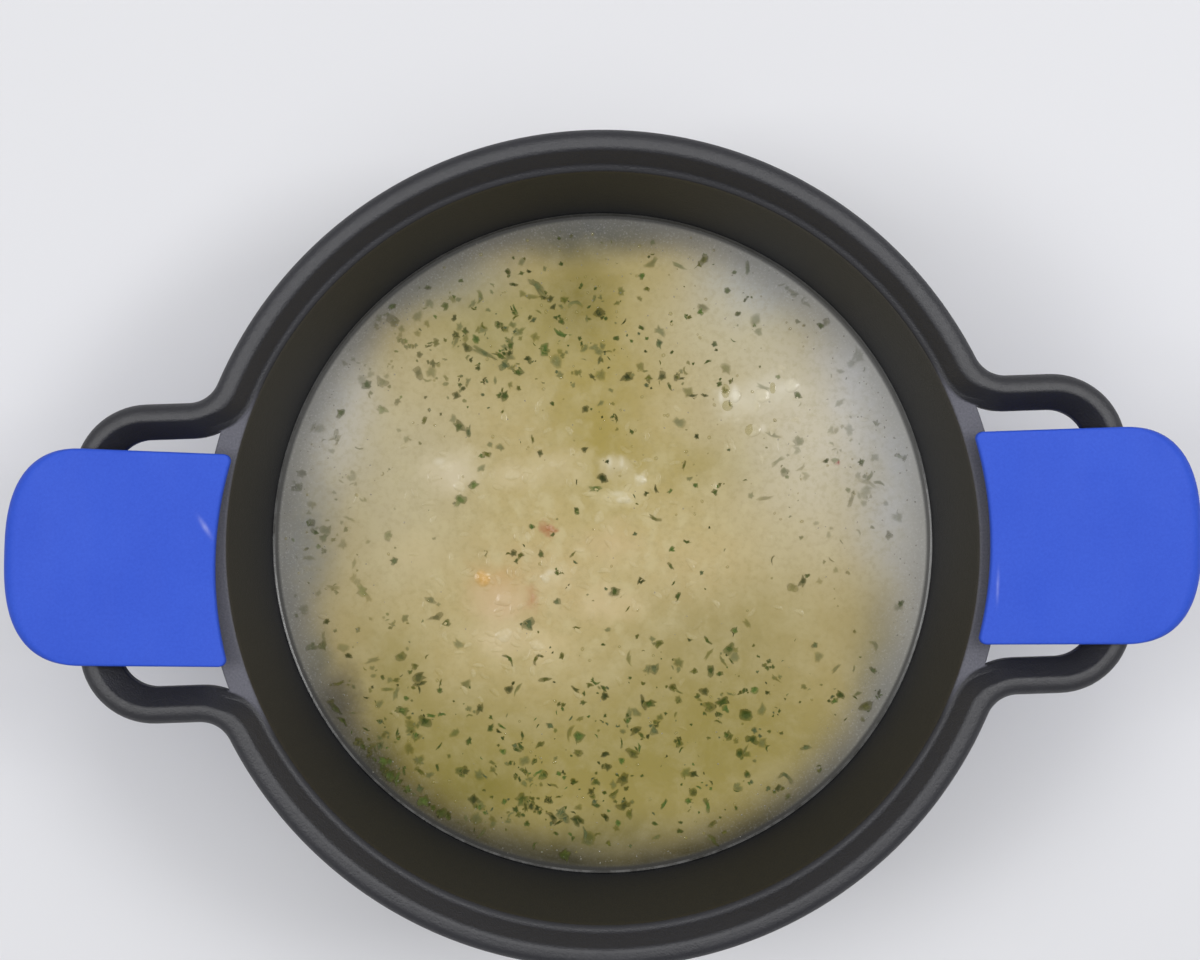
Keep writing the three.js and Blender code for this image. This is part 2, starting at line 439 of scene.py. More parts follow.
def bowlProfile():
    # Base, outer wall, flare, land and inner wall, as one outline with rounded corners
    land = cast["height"] - cast["landDrop"]
    flare = cast["flareStart"]
    corners = [
        (0, 0, 0),
        (wallRadius(0) + cast["wall"], 0, cast["outerFillet"]),
        (wallRadius(flare) + cast["wall"], flare, cast["flareRound"]),
        (cast["landRadius"], land - cast["landDepth"], cast["edgeRound"]),
        (cast["landRadius"], land, cast["edgeRound"]),
        (cast["mouthRadius"], land, cast["edgeRound"]),
        (wallRadius(cast["baseThickness"]), cast["baseThickness"], cast["innerFillet"]),
        (0, cast["baseThickness"], 0),
    ]
    corners = np.array(corners)
    return roundedPath(corners[:, :2], corners[:, 2], cast["arcSteps"])


def beadSection(onRim):
    # Outer quarter ellipse, round crown, straight slope, then the foot, which flares on to the land where
    # there is one and is rounded off on the handles. x is out from the crown line, y up from the crown.
    side = np.linspace(0, math.pi / 2, bead["sideSteps"])
    ellipse = np.stack([bead["out"] * np.cos(side), bead["sideHeight"] * (np.sin(side) - 1)], -1)
    foot = np.array([-bead["inward"], -cast["landDrop"]])
    part = "" if onRim else "OnHandle"
    shoulder = np.array([-bead["crownWidth" + part], 0])
    slope = (foot - shoulder) / np.linalg.norm(foot - shoulder)
    lip = bead["footFlare"] if onRim else 0
    above = foot - slope * (lip if onRim else 2 * bead["footRound"])
    corners = [
        (0, 0, 0),
        (*shoulder, bead["crownRound" + part]),
        (*above, bead["footFlareRound"]),
        (foot[0] - lip, foot[1], bead["lipRound"] if onRim else bead["footRound"]),
        (foot[0], foot[1] - bead["footRound"], bead["heelRound"]),
        (foot[0], -bead["depth"], bead["bottomRound"]),
        (bead["out"], -bead["depth"], bead["bottomRound"]),
        (bead["out"], -bead["sideHeight"], 0),
    ]
    corners = np.array(corners)
    return np.concatenate([ellipse[:-1], roundedPath(corners[:, :2], corners[:, 2], bead["arcSteps"])[:-1]])


def crownLine():
    # The closed line that the crown follows: rim, fillet, side bar, corner, outer bar and back, twice.
    # Each station has its point, its outward normal and how much it belongs to the rim.
    filletY = bead["barHalfSpan"] + bead["fillet"]
    filletX = math.sqrt((bead["crownRadius"] + bead["fillet"]) ** 2 - filletY ** 2)
    leave = math.atan2(filletY, filletX)
    cornerX = bead["reach"] - bead["corner"]
    cornerY = bead["barHalfSpan"] - bead["corner"]
    quarter = math.pi / 2
    # Middle, radius, start and end angle, points, and which way the normal faces
    arcs = [
        (0, 0, bead["crownRadius"], leave, math.pi - leave, bead["rimPoints"], 1),
        (-filletX, filletY, bead["fillet"], -leave, -quarter, bead["filletPoints"], -1),
        (-cornerX, cornerY, bead["corner"], quarter, 2 * quarter, bead["cornerPoints"], 1),
        (-cornerX, -cornerY, bead["corner"], 2 * quarter, 3 * quarter, bead["cornerPoints"], 1),
        (-filletX, -filletY, bead["fillet"], quarter, leave, bead["filletPoints"], -1),
    ]
    points = []
    normals = []
    for x, y, radius, start, end, steps, outward in arcs:
        angle = np.linspace(start, end, steps)
        normal = np.stack([np.cos(angle), np.sin(angle)], -1)
        points.append(np.array([x, y]) + radius * normal)
        normals.append(outward * normal)
    points = np.concatenate(points)
    normals = np.concatenate(normals)
    points = np.concatenate([points, -points])
    normals = np.concatenate([normals, -normals])
    apart = np.linalg.norm(points - np.roll(points, 1, 0), axis=1) > 0.001  # doubled points go
    points = points[apart]
    normals = normals[apart]
    distance = np.linalg.norm(points, axis=1)
    onRim = 1 - smoothStep(distance - bead["crownRadius"], *bead["blend"])
    return points, normals, onRim


def makeBeadShell():
    points, normals, onRim = crownLine()
    share = onRim[:, None, None]
    section = share * beadSection(True) + (1 - share) * beadSection(False)
    plan = points[:, None, :] + section[..., :1] * normals[:, None, :]
    height = cast["height"] + section[..., 1:]
    grid = np.concatenate([plan, height], -1)
    quads = gridFaces(len(points), grid.shape[1], closedRows=True, closedColumns=True)
    return shell(grid.reshape(-1, 3), quads)


coat = {
    "darkTone": (6, 6, 12),
    "lightTone": (34, 34, 43),
    "insideTone": (4, 9, 17),
    "wornTone": (128, 128, 140),
    # Sizes of the noises
    "grain": 0.75,
    "coarse": 2.6,
    "cloud": 45,
    "insideRoughness": 0.62,
    "wetRoughness": 0.16,
    "bumpDepth": 0.26,
    "insideEnd": (112.6, 116.2),  # heights between which the inside's tone ends
    "intoWall": (1.2, 2.0),  # how far into the wall from the inside
    "underBroth": (8, 6),  # how far below the broth's level the inside's tone begins
    "seatBelow": (1.2, 0.5),  # the seat's band of heights fades in below and out above
    "seatAbove": (0.2, 0.7),
    "seatReach": (148.4, 149.0),
    "besideGrips": (48, 68),  # how far from the line through the handles the painted light on the seat ends
    "wetLine": (1.4, 2.6),  # above the broth
    "wetUneven": 0.6,
}


def coatingPaint():
    paint = Paint("grainyCoating")
    place = paint.place()
    x, y, z = paint.axes(place)
    radius = (x * x + y * y) ** 0.5
    grain = paint.noise(place, coat["grain"], 3, 0.65)
    coarse = paint.noise(place, coat["coarse"], 3, 0.6)
    cloud = paint.noise(place, coat["cloud"], 3, 0.55)
    seatHigh = cast["height"] - cast["landDrop"]
    # Dark grey, a little lighter and darker in soft clouds and in fine grain
    dark, light, insideTone, worn = (
        fromScreen(*coat[f"{name}Tone"]) for name in ("dark", "light", "inside", "worn"))
    tone = paint.mix(cloud * 0.35 + grain * 0.45, dark, light)
    # Inside, between the broth and the land, it is painted nearly black: painted shade on the inner wall. The
    # mask is a ramp across the leaning wall.
    high = z / mm
    acrossWall = radius / mm - wallTaper * (high - brothLevel)
    inside = 1 - paint.ramp(acrossWall, *(brothRadius + v for v in coat["intoWall"]))
    inside = inside * paint.ramp(high, *(brothLevel - v for v in coat["underBroth"]))
    inside = inside * (1 - paint.ramp(high, *coat["insideEnd"]))
    tone = paint.mix(inside * (0.45 + 0.4 * coarse), tone, insideTone)
    # The flat seat with its inner edge, painted paler beside the grips: painted light where the grips shade
    # it
    seat = paint.ramp(high, *(seatHigh - v for v in coat["seatBelow"]))
    seat = seat * (1 - paint.ramp(high, *(seatHigh + v for v in coat["seatAbove"])))
    seat = seat * (1 - paint.ramp(radius / mm, *coat["seatReach"]))
    beside = 1 - paint.ramp(y.maths("ABSOLUTE") / mm, *coat["besideGrips"])
    tone = paint.mix(seat * beside * (0.15 + 0.55 * grain), tone, worn)
    # Wet just above the broth, with an uneven upper edge
    wetTop = high + coat["wetUneven"] * (coarse - 0.5) * 2
    wet = (1 - paint.ramp(wetTop, *(brothLevel + v for v in coat["wetLine"]))) * inside
    # Satin on the rim and handles, duller inside and dullest on the seat
    rough = 0.44 + 0.1 * coarse + 0.1 * grain
    rough = rough * (1 - inside) + coat["insideRoughness"] * inside
    rough = rough + 0.3 * seat
    rough = rough * (1 - wet) + coat["wetRoughness"] * wet
    paint.set(
        BaseColor=tone,
        Roughness=rough,
        Normal=paint.bump(grain + 0.6 * coarse, coat["bumpDepth"], 0.85),
        SpecularIORLevel=0.88,
    )
    return paint


coating = coatingPaint()
potShape = joined([turned(bowlProfile(), cast["turnSteps"]), makeBeadShell()])
addPiece("potShell", potShape, coating, ["pot"])


# The silicone grips, each a folded flap that is pushed over its handle
grip = {
    "mouthRadius": 141.2,
    "lowerRadius": 151.0,
    "end": 219.5,
    "halfWidth": 39.6,
    "halfWidthAtMouth": 38.8,
    "endLength": 30.0,
    "endPower": 2.65,
    "mouthRound": 3.0,
    "flap": 3.0,
    "clearance": 0.5,
    "slotEnd": 197.5,
    "slotRound": 4.0,
    "flapRound": 1.3,
    "heelRound": 3.0,
    "heelToEnd": 3.0,  # the bend under the nose stays at least this far in
    "nose": 12.0,
    "tip": 0.8,  # at the sides the nose comes down to this far above the underside
    "thinnestWall": 2.2,  # where the rounded outline comes close to the bar
    "edgeRound": 0.9,
    "capHalf": 39.35,  # the side profile is carried this far each way
    "stations": 121,
    "arcSteps": 10,
    "slide": {"left": -3.6, "right": -1.3},
    "turnDeg": {"left": 3.3, "right": 0.9},
    "blue": (32, 66, 180),
    "paleBlue": (62, 98, 212),
    "scuffTone": (196, 198, 232),
    # Painted highlights, pale streaks: x, y, turn in degrees, half length, half width, strength
    "scuffs": {
        "left": (-144.3, 13.1, -60, 3.4, 0.8, 0.34),
        "right": (143.0, -18.0, 86, 5.0, 0.5, 0.22),
    },
}


def gripOutlineEnd(y):
    # Half a superellipse: how far out the grip reaches at each y
    share = np.clip(np.abs(y) / grip["halfWidth"], 0, 1)
    bulge = (1 - share ** grip["endPower"]) ** (1 / grip["endPower"])
    return grip["end"] - grip["endLength"] * (1 - bulge)


def gripMouth(y, radius):
    # An arc about the pot's axis, with a small round corner at each side
    inner = grip["halfWidth"] - grip["mouthRound"]
    arc = np.sqrt(radius ** 2 - np.minimum(np.abs(y), inner) ** 2)
    past = np.clip(np.abs(y) - inner, 0, grip["mouthRound"])
    return arc + grip["mouthRound"] - np.sqrt(grip["mouthRound"] ** 2 - past ** 2)


def makeGripShell(side):
    # The side profile, two flaps joined by a nose, carried across the grip. Near the sides it draws in,
    # which rounds the edges.
    y = grip["capHalf"] * np.sin(np.linspace(-0.5, 0.5, grip["stations"]) * math.pi)
    past = np.clip(np.abs(y) - (grip["capHalf"] - grip["edgeRound"]), 0, grip["edgeRound"])
    inset = grip["edgeRound"] - np.sqrt(grip["edgeRound"] ** 2 - past ** 2)
    high = cast["height"] + grip["clearance"] + grip["flap"] - inset
    slotHigh = cast["height"] + grip["clearance"] + inset
    slotLow = cast["height"] - bead["depth"] - grip["clearance"] - inset
    low = cast["height"] - bead["depth"] - grip["clearance"] - grip["flap"] + inset
    end = gripOutlineEnd(y)
    slotEnd = np.minimum(grip["slotEnd"], end - grip["thinnestWall"]) + inset
    full = np.clip((end - grip["slotEnd"]) / (grip["end"] - grip["slotEnd"]), 0, 1)
    noseLow = high - grip["nose"] * full - (high - low - grip["tip"]) * (1 - full)
    upper = gripMouth(y, grip["mouthRadius"]) + inset
    lower = gripMouth(y, grip["lowerRadius"]) + inset
    end = end - inset
    heel = np.minimum(grip["slotEnd"] - grip["slotRound"], end - grip["heelToEnd"])
    flapRound = grip["flapRound"] - 0.8 * inset
    noseRound = grip["nose"] / 2 - inset
    corners = [
        (upper, high, flapRound),
        (end, high, noseRound),
        (end, noseLow, noseRound),
        (heel, low, grip["heelRound"]),
        (lower, low, flapRound),
        (lower, slotLow, flapRound),
        (slotEnd, slotLow, grip["slotRound"]),
        (slotEnd, slotHigh, grip["slotRound"]),
        (upper, slotHigh, flapRound),
    ]
    table = np.stack([np.stack(np.broadcast_arrays(*c, y)[:3], -1) for c in corners], 1)
    loops = roundedPath(table[..., :2], table[..., 2], grip["arcSteps"], closed=True)
    x = loops[..., 0]
    widen = np.clip((x - grip["mouthRadius"]) / (grip["end"] - grip["endLength"] - grip["mouthRadius"]), 0, 1)
    width = grip["halfWidthAtMouth"] + (grip["halfWidth"] - grip["halfWidthAtMouth"]) * widen
    across = y[:, None] * width / grip["capHalf"]
    points = np.stack([x, across, loops[..., 1]], -1)
    count = loops.shape[1]
    quads = gridFaces(len(y), count, closedColumns=True)
    cap = np.array(tessellate_polygon([[(a, b, 0) for a, b in loops[0]]]))
    lastCap = cap[:, ::-1] + (len(y) - 1) * count
    points = points.reshape(-1, 3)
    # Both caps are turned to match the skin between them
    direction = volumeOf(points, quads, np.zeros((0, 3), int))
    capSum = volumeOf(points - points[:count].mean(0), np.zeros((0, 4), int), lastCap)
    caps = np.concatenate([cap, lastCap])
    if (direction < 0) != (capSum < 0):
        caps = caps[:, ::-1]
    angle = math.radians(-grip["turnDeg"][side])
    points = points - [bead["reach"], 0, 0]
    turnedX = points[:, 0] * math.cos(angle) - points[:, 1] * math.sin(angle) + bead["reach"]
    turnedY = points[:, 0] * math.sin(angle) + points[:, 1] * math.cos(angle) + grip["slide"][side]
    sign = -1 if side == "left" else 1
    return shell(np.stack([sign * turnedX, sign * turnedY, points[:, 2]], -1), quads, caps)


def siliconePaint():
    paint = Paint("blueSilicone")
    place = paint.place()
    x, y = paint.axes(place)[:2]
    grain = paint.noise(place, 1.1, 3, 0.7)
    cloud = paint.noise(place, 30, 3, 0.5)
    smear = paint.noise(paint.moved(place, (1, 0.25, 1)), 9, 3, 0.6)
    # Royal blue, slightly paler in soft clouds, with a fine grain
    blue = fromScreen(*grip["blue"])
    blue = paint.mix(cloud * 0.35 + grain * 0.5, blue, fromScreen(*grip["paleBlue"]))
    # Painted highlights near the grips' mouths: pale streaks that fall off with the squared distances across
    # and along
    patchy = 0.3 + 1.1 * paint.noise(paint.moved(place, (1, 0.4, 1)), 0.9, 2)
    for middleX, middleY, turnDeg, halfLength, halfWidth, strength in grip["scuffs"].values():
        cos = math.cos(math.radians(turnDeg))
        sin = math.sin(math.radians(turnDeg))
        fromX = x / mm - middleX
        fromY = y / mm - middleY
        along = (fromX * cos + fromY * sin) / halfLength
        across = (fromY * cos - fromX * sin) / halfWidth
        streak = (-1 * (across * across + along * along)).maths("EXPONENT")
        blue = paint.mix(streak * patchy * strength, blue, fromScreen(*grip["scuffTone"]))
    paint.set(
        BaseColor=blue,
        Roughness=0.5 + 0.16 * smear,
        Normal=paint.bump(grain, 0.03, 0.5),
        SpecularIORLevel=0.2,
    )
    return paint


silicone = siliconePaint()
for side in ("left", "right"):
    addPiece(f"{side}Grip", makeGripShell(side), silicone, [f"grip_{side}"])


# The broth
broth = {
    "meniscusRise": 0.7,
    "meniscusReach": 0.8,
    "intoWall": 0.15,
    "rings": 150,
    # distances of the closer rings from the wall
    "wallRings": (0.15, 0.35, 0.6, 0.9, 1.25, 1.65, 2.1, 2.6, 3.2, 3.9, 4.7),
    "turnSteps": 512,
    "arcSteps": 10,
    "ringGap": 0.4,  # at least this much between the closer rings and the others
    "rippleHeight": 0.06,
    # Two crossed waves: millimetres for each radian, how much a slower wave bends it, and that one's own
    "waveAcross": (9.1, 1.7, 23),
    "waveUp": (7.7, 1.3, 19),
    # A weaker slanting wave: millimetres for each radian along x and along y, start, strength
    "waveSlant": (4.3, 5.9, 2, 0.6),
    "lumpShare": 0.45,  # how much of a lump's height shows through
    "lumpFalloff": 1.6,
    "calmReach": 4.0,  # ripples die down this close to the wall
}
# Soft lumps of clam meat and rice that push up the surface: x, y, radius, height
lumps = {
    "leftPair": [(-62, 32, 7.0, 0.5), (-35, 29, 6.0, 0.25), (-18, 33, 6.0, 0.2)],
    "brightGroup": [(6, 32, 5.0, 0.8), (14, 25, 5.0, 0.7), (8, 19, 4.5, 0.8), (-1, 10, 5.0, 0.25)],
    "warmGroup": [(-49, -13, 4.5, 0.5), (-41, -21, 6.0, 0.45), (-23, -12, 4.0, 0.5), (-30, -20, 5.0, 0.4)],
    "lowerGroup": [(-40, -35, 5.5, 0.4), (-28, -39, 5.0, 0.3), (-52, -30, 5.0, 0.25), (0, -24, 4.5, 0.2)],
    "rightGroup": [(53, 56, 5.0, 0.7), (65, 55, 4.5, 0.5), (77, 61, 4.5, 0.5), (61, 43, 4.0, 0.4)],
}
lumpTable = np.array([lump for group in lumps.values() for lump in group], float)


def bentWave(along, aside, length, bend, bendLength):
    return np.sin(along / length + bend * np.sin(aside / bendLength))


def surfaceHeight(x, y):
    # The broth's level, plus slow ripples, a low round dome over each lump and the rise at the wall
    alongX, alongY, start, strength = broth["waveSlant"]
    ripple = bentWave(x, y, *broth["waveAcross"]) * bentWave(y, x, *broth["waveUp"])
    ripple = ripple + strength * np.sin(x / alongX + y / alongY + start)
    height = brothLevel + broth["rippleHeight"] * ripple
    for lumpX, lumpY, radius, rise in lumpTable:
        near = ((x - lumpX) ** 2 + (y - lumpY) ** 2) / radius ** 2
        height = height + broth["lumpShare"] * rise * np.exp(-broth["lumpFalloff"] * near)
    fromWall = np.maximum(brothRadius - np.hypot(x, y), 0)
    calm = 1 - np.exp(-fromWall / broth["calmReach"])
    height = brothLevel + (height - brothLevel) * calm
    return height + broth["meniscusRise"] * np.exp(-fromWall / broth["meniscusReach"])


def makeBrothShell():
    # A closed turned body whose top follows surfaceHeight, with rings closer together at the wall
    floorZ = cast["baseThickness"] - broth["intoWall"]
    rimZ = brothLevel + broth["meniscusRise"]
    rimRadius = wallRadius(rimZ) + broth["intoWall"]
    corners = np.array([
        (0, floorZ, 0),
        (wallRadius(floorZ) + broth["intoWall"], floorZ, cast["innerFillet"]),
        (rimRadius, rimZ, 0),
    ])
    below = roundedPath(corners[:, :2], corners[:, 2], broth["arcSteps"])
    share = np.linspace(0, 1, broth["rings"])[1:]
    radii = rimRadius * (1 - share)
    fine = rimRadius - np.array(broth["wallRings"])
    radii = np.concatenate([fine, radii[radii < fine[-1] - broth["ringGap"]]])
    top = np.stack([radii, np.full(len(radii), rimZ)], -1)
    points, quads, tris = turned(np.concatenate([below, top]), broth["turnSteps"])
    isTop = points[:, 2] > rimZ - 0.01
    points[isTop, 2] = surfaceHeight(points[isTop, 0], points[isTop, 1])
    return points, quads, tris


# Soft patches of tone: x, y, radius across, radius up, colour on screen, strength. The grey ones, the shade
# ones, darkTop, oliveLowEdge and oliveLowLeftEdge lie near the wall: painted reflection and painted shade on
# the broth.
patches = {
    "paleMiddle": (0, -8, 58, 46, (192, 175, 126), 0.75),
    "oliveTop": (-4, 87, 26, 33, (160, 146, 84), 0.82),
    "oliveNeck": (0, 41, 18, 27, (160, 144, 76), 0.75),
    "oliveTopCore": (-6, 98, 15, 16, (122, 112, 46), 0.75),
    "oliveShoulder": (-44, 88, 26, 18, (152, 144, 96), 0.7),
    "oliveRight": (48, 32, 28, 12, (164, 148, 84), 0.8),
    "paleMiddleRight": (37, -16, 24, 16, (204, 184, 140), 0.7),
    "oliveMiddleRight": (48, -40, 44, 28, (153, 141, 94), 0.75),
    "oliveLowRight": (50, -80, 44, 26, (144, 132, 74), 0.8),
    "oliveLowLeft": (-70, -84, 32, 26, (134, 125, 70), 0.7),
    "oliveLow": (-2, -94, 84, 34, (148, 136, 76), 0.85),
    "oliveLowEdge": (-12, -119, 44, 10, (106, 101, 50), 0.65),
    "oliveLowLeftEdge": (-54, -98, 19, 12, (124, 117, 64), 0.6),
    "paleRight": (90, 46, 38, 52, (203, 196, 178), 0.9),
    "paleUpperRight": (58, 88, 30, 26, (194, 187, 162), 0.7),
    "paleLeft": (-86, 34, 32, 46, (186, 177, 150), 0.75),
    "shadeLeftWall": (-117, -43, 6, 12, (96, 100, 84), 0.6),
    "shadeLowLeftNext": (-97, -82, 12, 11, (70, 75, 50), 0.5),
    "oliveLeftLow": (-86, -52, 16, 22, (140, 130, 76), 0.6),
    "greyLeft": (-124, 6, 14, 38, (142, 143, 138), 0.9),
    "greyUpperLeft": (-110, 62, 17, 34, (206, 204, 199), 0.82),
    "greyTopLeft": (-66, 108, 30, 12, (150, 148, 132), 0.8),
    "greyTopRight": (70, 104, 26, 16, (186, 187, 184), 0.85),
    "greyRight": (122, 28, 18, 54, (204, 205, 206), 0.9),
    "greyUpperRight": (106, 63, 15, 24, (218, 218, 218), 0.85),
    "greyLowRight": (112, -62, 13, 30, (134, 131, 104), 0.72),
    "darkTop": (2, 126, 34, 10, (78, 78, 34), 0.95),
    "warmMiddle": (-30, -14, 24, 18, (196, 170, 127), 0.5),
}
# Small soft spots: x, y, radius across, radius up, colour, strength
spots = {
    "shadeLowLeft": (-107, -60, 8, 14, (52, 57, 40), 0.6),
    "pinkUpper": (-22.6, 8.4, 1.9, 1.8, (172, 122, 90), 0.6),
    "pinkLower": (-20.6, 6.4, 2.3, 1.9, (164, 104, 72), 0.75),
    "pinkBelow": (-29, -21, 3.2, 4.0, (178, 138, 98), 0.65),
    "orangeHalo": (-44, -14, 9, 6, (196, 160, 110), 0.5),
    "whiteLeft": (-60, 31, 10, 8, (208, 196, 168), 0.85),
    "whiteUpper": (-34, 29, 9, 5, (204, 189, 152), 0.55),
    "whiteMiddle": (-16, 32, 10, 6, (203, 188, 150), 0.6),
    "whiteBright": (6, 31, 6, 4.5, (206, 194, 162), 0.65),
    "whiteBrightRight": (15, 24.5, 5, 4, (208, 194, 154), 0.6),
    "whiteBrightLow": (8, 17.5, 6, 3.2, (208, 194, 152), 0.6),
    "pinkishCentre": (3, 0, 10, 8, (203, 180, 140), 0.5),
    "whiteWarm": (-20, -13.5, 7, 5, (207, 192, 154), 0.6),
    "pinkishWarm": (-42, -23, 11, 7, (208, 182, 146), 0.7),
    "whiteMiddleLow": (-2, -24, 8, 6, (205, 186, 146), 0.65),
    "whiteRightLow": (9, -26, 7, 5, (204, 184, 142), 0.5),
    "whiteLow": (-42, -37, 11, 7, (208, 190, 152), 0.75),
    "whiteLowRight": (-24, -41, 9, 6, (208, 190, 148), 0.6),
    "whiteFarLeft": (-74, -2, 12, 9, (197, 182, 142), 0.5),
    "whiteRight": (57, 55, 9, 6, (212, 204, 180), 0.8),
    "whiteFarRight": (74, 59, 12, 6, (210, 203, 182), 0.75),
    "redFleck": (95, 29, 1.3, 1.0, (150, 70, 66), 0.8),
}
# Wet highlights on the lumps, written the same way
glints = {
    "brightLeftArc": (3.8, 32.4, 1.1, 2.4, (216, 209, 184), 0.55),
    "brightRightArc": (8.8, 32.2, 1.0, 2.2, (214, 206, 180), 0.5),
    "brightLow": (6.2, 19.6, 2.6, 1.1, (216, 208, 180), 0.5),
    "brightLowSide": (11.0, 16.4, 1.7, 1.0, (214, 206, 178), 0.45),
    "brightSide": (17.0, 25.5, 1.2, 1.8, (216, 208, 182), 0.5),
    "orange": (-46.6, -11.2, 0.9, 0.5, (240, 224, 190), 0.8),
    "ringLeft": (49.6, 57.0, 0.9, 2.4, (222, 216, 196), 0.6),
    "ringRight": (55.4, 58.0, 1.3, 2.8, (230, 224, 206), 0.7),
    "ovalRight": (74.6, 59.5, 2.8, 1.4, (216, 209, 190), 0.5),
    "farRight": (80.0, 60.0, 1.3, 1.9, (216, 210, 192), 0.5),
    "lowRight": (66.0, 44.0, 1.3, 1.8, (218, 210, 188), 0.55),
    "left": (-64.5, 35.0, 2.2, 1.3, (216, 208, 186), 0.5),
    "warmTop": (-21.6, -11.0, 1.8, 1.1, (216, 206, 180), 0.5),
}
look = {
    "lit": 1.09,  # how bright the lamps make a white surface at the broth
    "veil": 0.045,  # what the wet gloss adds to every tone
    "edgeTurn": 50,  # the side, in degrees from +X, towards which the wall's reflection is palest
    # What the parts of the broth look like on screen
    "baseTone": (180, 164, 117),
    "cloudTone": (196, 186, 150),
    "mottleTone": (146, 134, 88),
    "grainTone": (204, 192, 152),
    "wallOlive": (57, 62, 36),
    "wallPale": (191, 190, 186),
    "foamTone": (222, 221, 218),
    "shadeTone": (60, 61, 60),
    "lineTone": (128, 128, 127),
    "drift": 18,  # how far the large patches' outlines wander
    "nudge": 13,  # the same for the small spots
    # Distances from the middle
    "greyBand": (106, 132),
    "greyUneven": 5,
    "wallShade": (129.6, 131),
    "wallLine": (131.6, 131.9),
    "lineFades": (0.1, 0.75),  # sines of the angle towards the back
}


def seen(red, green, blue):
    # The paint that looks like this screen colour once the gloss is added and the lamps shine on it
    wanted = np.array(fromScreen(red, green, blue))
    return tuple(np.maximum((wanted - look["veil"]) / look["lit"], 0.002).tolist())


def brothTone(paint, place, fine):
    # The broth's colour, which what lies in it fades into
    drift = paint.vector("SUBTRACT", paint.noise(place, 38, 3, 0.5, "Color"), (0.5, 0.5, 0.5))
    warped = paint.vector("ADD", place, paint.vector("SCALE", drift, Scale=look["drift"] * mm))
    stir = paint.vector("SUBTRACT", paint.noise(place, 9, 3, 0.6, "Color"), (0.5, 0.5, 0.5))
    nudged = paint.vector("ADD", place, paint.vector("SCALE", stir, Scale=look["nudge"] * mm))
    x, y = paint.axes(place)[:2]

    def spotted(tone, where, table):
        for centreX, centreY, wide, tall, colour, strength in table.values():
            mask = paint.blob(where, centreX, centreY, wide, tall, strength)
            tone = paint.mix(mask, tone, seen(*colour))
        return tone

    tone = spotted(seen(*look["baseTone"]), warped, patches)
    # Uneven clouds of fat and starch, and a finer mottle
    cloud = paint.ramp(paint.noise(warped, 13, 4, 0.6), 0.38, 0.68)
    tone = paint.mix(cloud * 0.2, tone, seen(*look["cloudTone"]))
    tone = paint.mix(paint.ramp(fine, 0.42, 0.72) * 0.22, tone, seen(*look["mottleTone"]))
    # Grains that lie just under the surface: faint pale ovals where the rice is thick
    heapMask = paint.blob(warped, -8, 2, 70, 56, 0.42)
    ovals = 1 - paint.ramp(paint.cells(paint.moved(nudged, (1, 0.62, 1)), 6.5), 0.14, 0.5)
    tone = paint.mix(ovals * heapMask, tone, seen(*look["grainTone"]))
    # Towards the wall the broth is painted with light and shade: a pale painted reflection on the right and
    # left, where the light comes in, and dark olive painted shade at the top and bottom. The share of pale is
    # a constant plus the first two waves of the angle.
    radius = (x * x + y * y) ** 0.5
    turnX = math.cos(math.radians(look["edgeTurn"]))
    turnY = math.sin(math.radians(look["edgeTurn"]))
    facing = (x * turnX + y * turnY) / radius
    twice = (x * x - y * y) / (radius * radius)
    pale = 0.33 + 0.36 * facing + 0.34 * twice
    far = radius / mm
    uneven = far + look["greyUneven"] * (paint.noise(place, 20, 3) - 0.5)
    band = paint.ramp(uneven, *look["greyBand"])
    wallLightAndShade = paint.mix(pale, seen(*look["wallOlive"]), seen(*look["wallPale"]))
    tone = paint.mix(band * band * 0.88, tone, wallLightAndShade)
    # Fine foam near the wall, most where it is pale
    foam = paint.ramp(paint.noise(place, 0.9, 2, 0.7), 0.52, 0.72)
    tone = paint.mix(foam * band * (0.1 + 0.22 * pale), tone, seen(*look["foamTone"]))
    tone = spotted(tone, nudged, spots)
    tone = spotted(tone, place, glints)
    # Next to the wall a narrow painted shade, then a thin broken paler line, a painted highlight, faint at
    # the back
    rim = paint.ramp(far, *look["wallShade"])
    tone = paint.mix(rim * 0.8, tone, seen(*look["shadeTone"]))
    broken = paint.ramp(paint.noise(place, 7, 4, 0.7), 0.36, 0.62)
    contact = paint.ramp(far, *look["wallLine"]) * (1 - 0.75 * paint.ramp(y / radius, *look["lineFades"]))
    return paint.mix(contact * (0.1 + 0.45 * broken), tone, seen(*look["lineTone"]))


def wetFinish(paint, tone):
    # The broth's gloss and its small waves. tone is a function that makes the colour out of the broth's own.
    place = paint.place()
    fine = paint.noise(place, 2.6, 4, 0.65)
    wave = paint.noise(place, 5, 3, 0.55)
    paint.set(
        BaseColor=tone(brothTone(paint, place, fine)),
        Roughness=0.12 + 0.1 * fine,
        Normal=paint.bump(wave + 0.3 * fine, 0.16, 0.4),
        IOR=1.34,
    )
    return paint


cloudyBroth = wetFinish(Paint("cloudyBroth"), lambda tone: tone)
addPiece("brothBody", makeBrothShell(), cloudyBroth, ["broth"])


def flakeFaces(count, corners):
    # Faces of a flake: a fan and a ring on top and a fan below
    j = np.arange(corners)
    after = (j + 1) % corners
    inner = 1 + j
    outer = 1 + corners + j
    innerAfter = 1 + after
    outerAfter = 1 + corners + after
    last = 1 + 2 * corners
    top = np.stack([0 * j, inner, innerAfter], -1)
    bottom = np.stack([0 * j + last, outerAfter, outer], -1)
    ring = np.stack([inner, outer, outerAfter, innerAfter], -1)
    return repeated(ring, count, last + 1), repeated(np.concatenate([top, bottom]), count, last + 1)


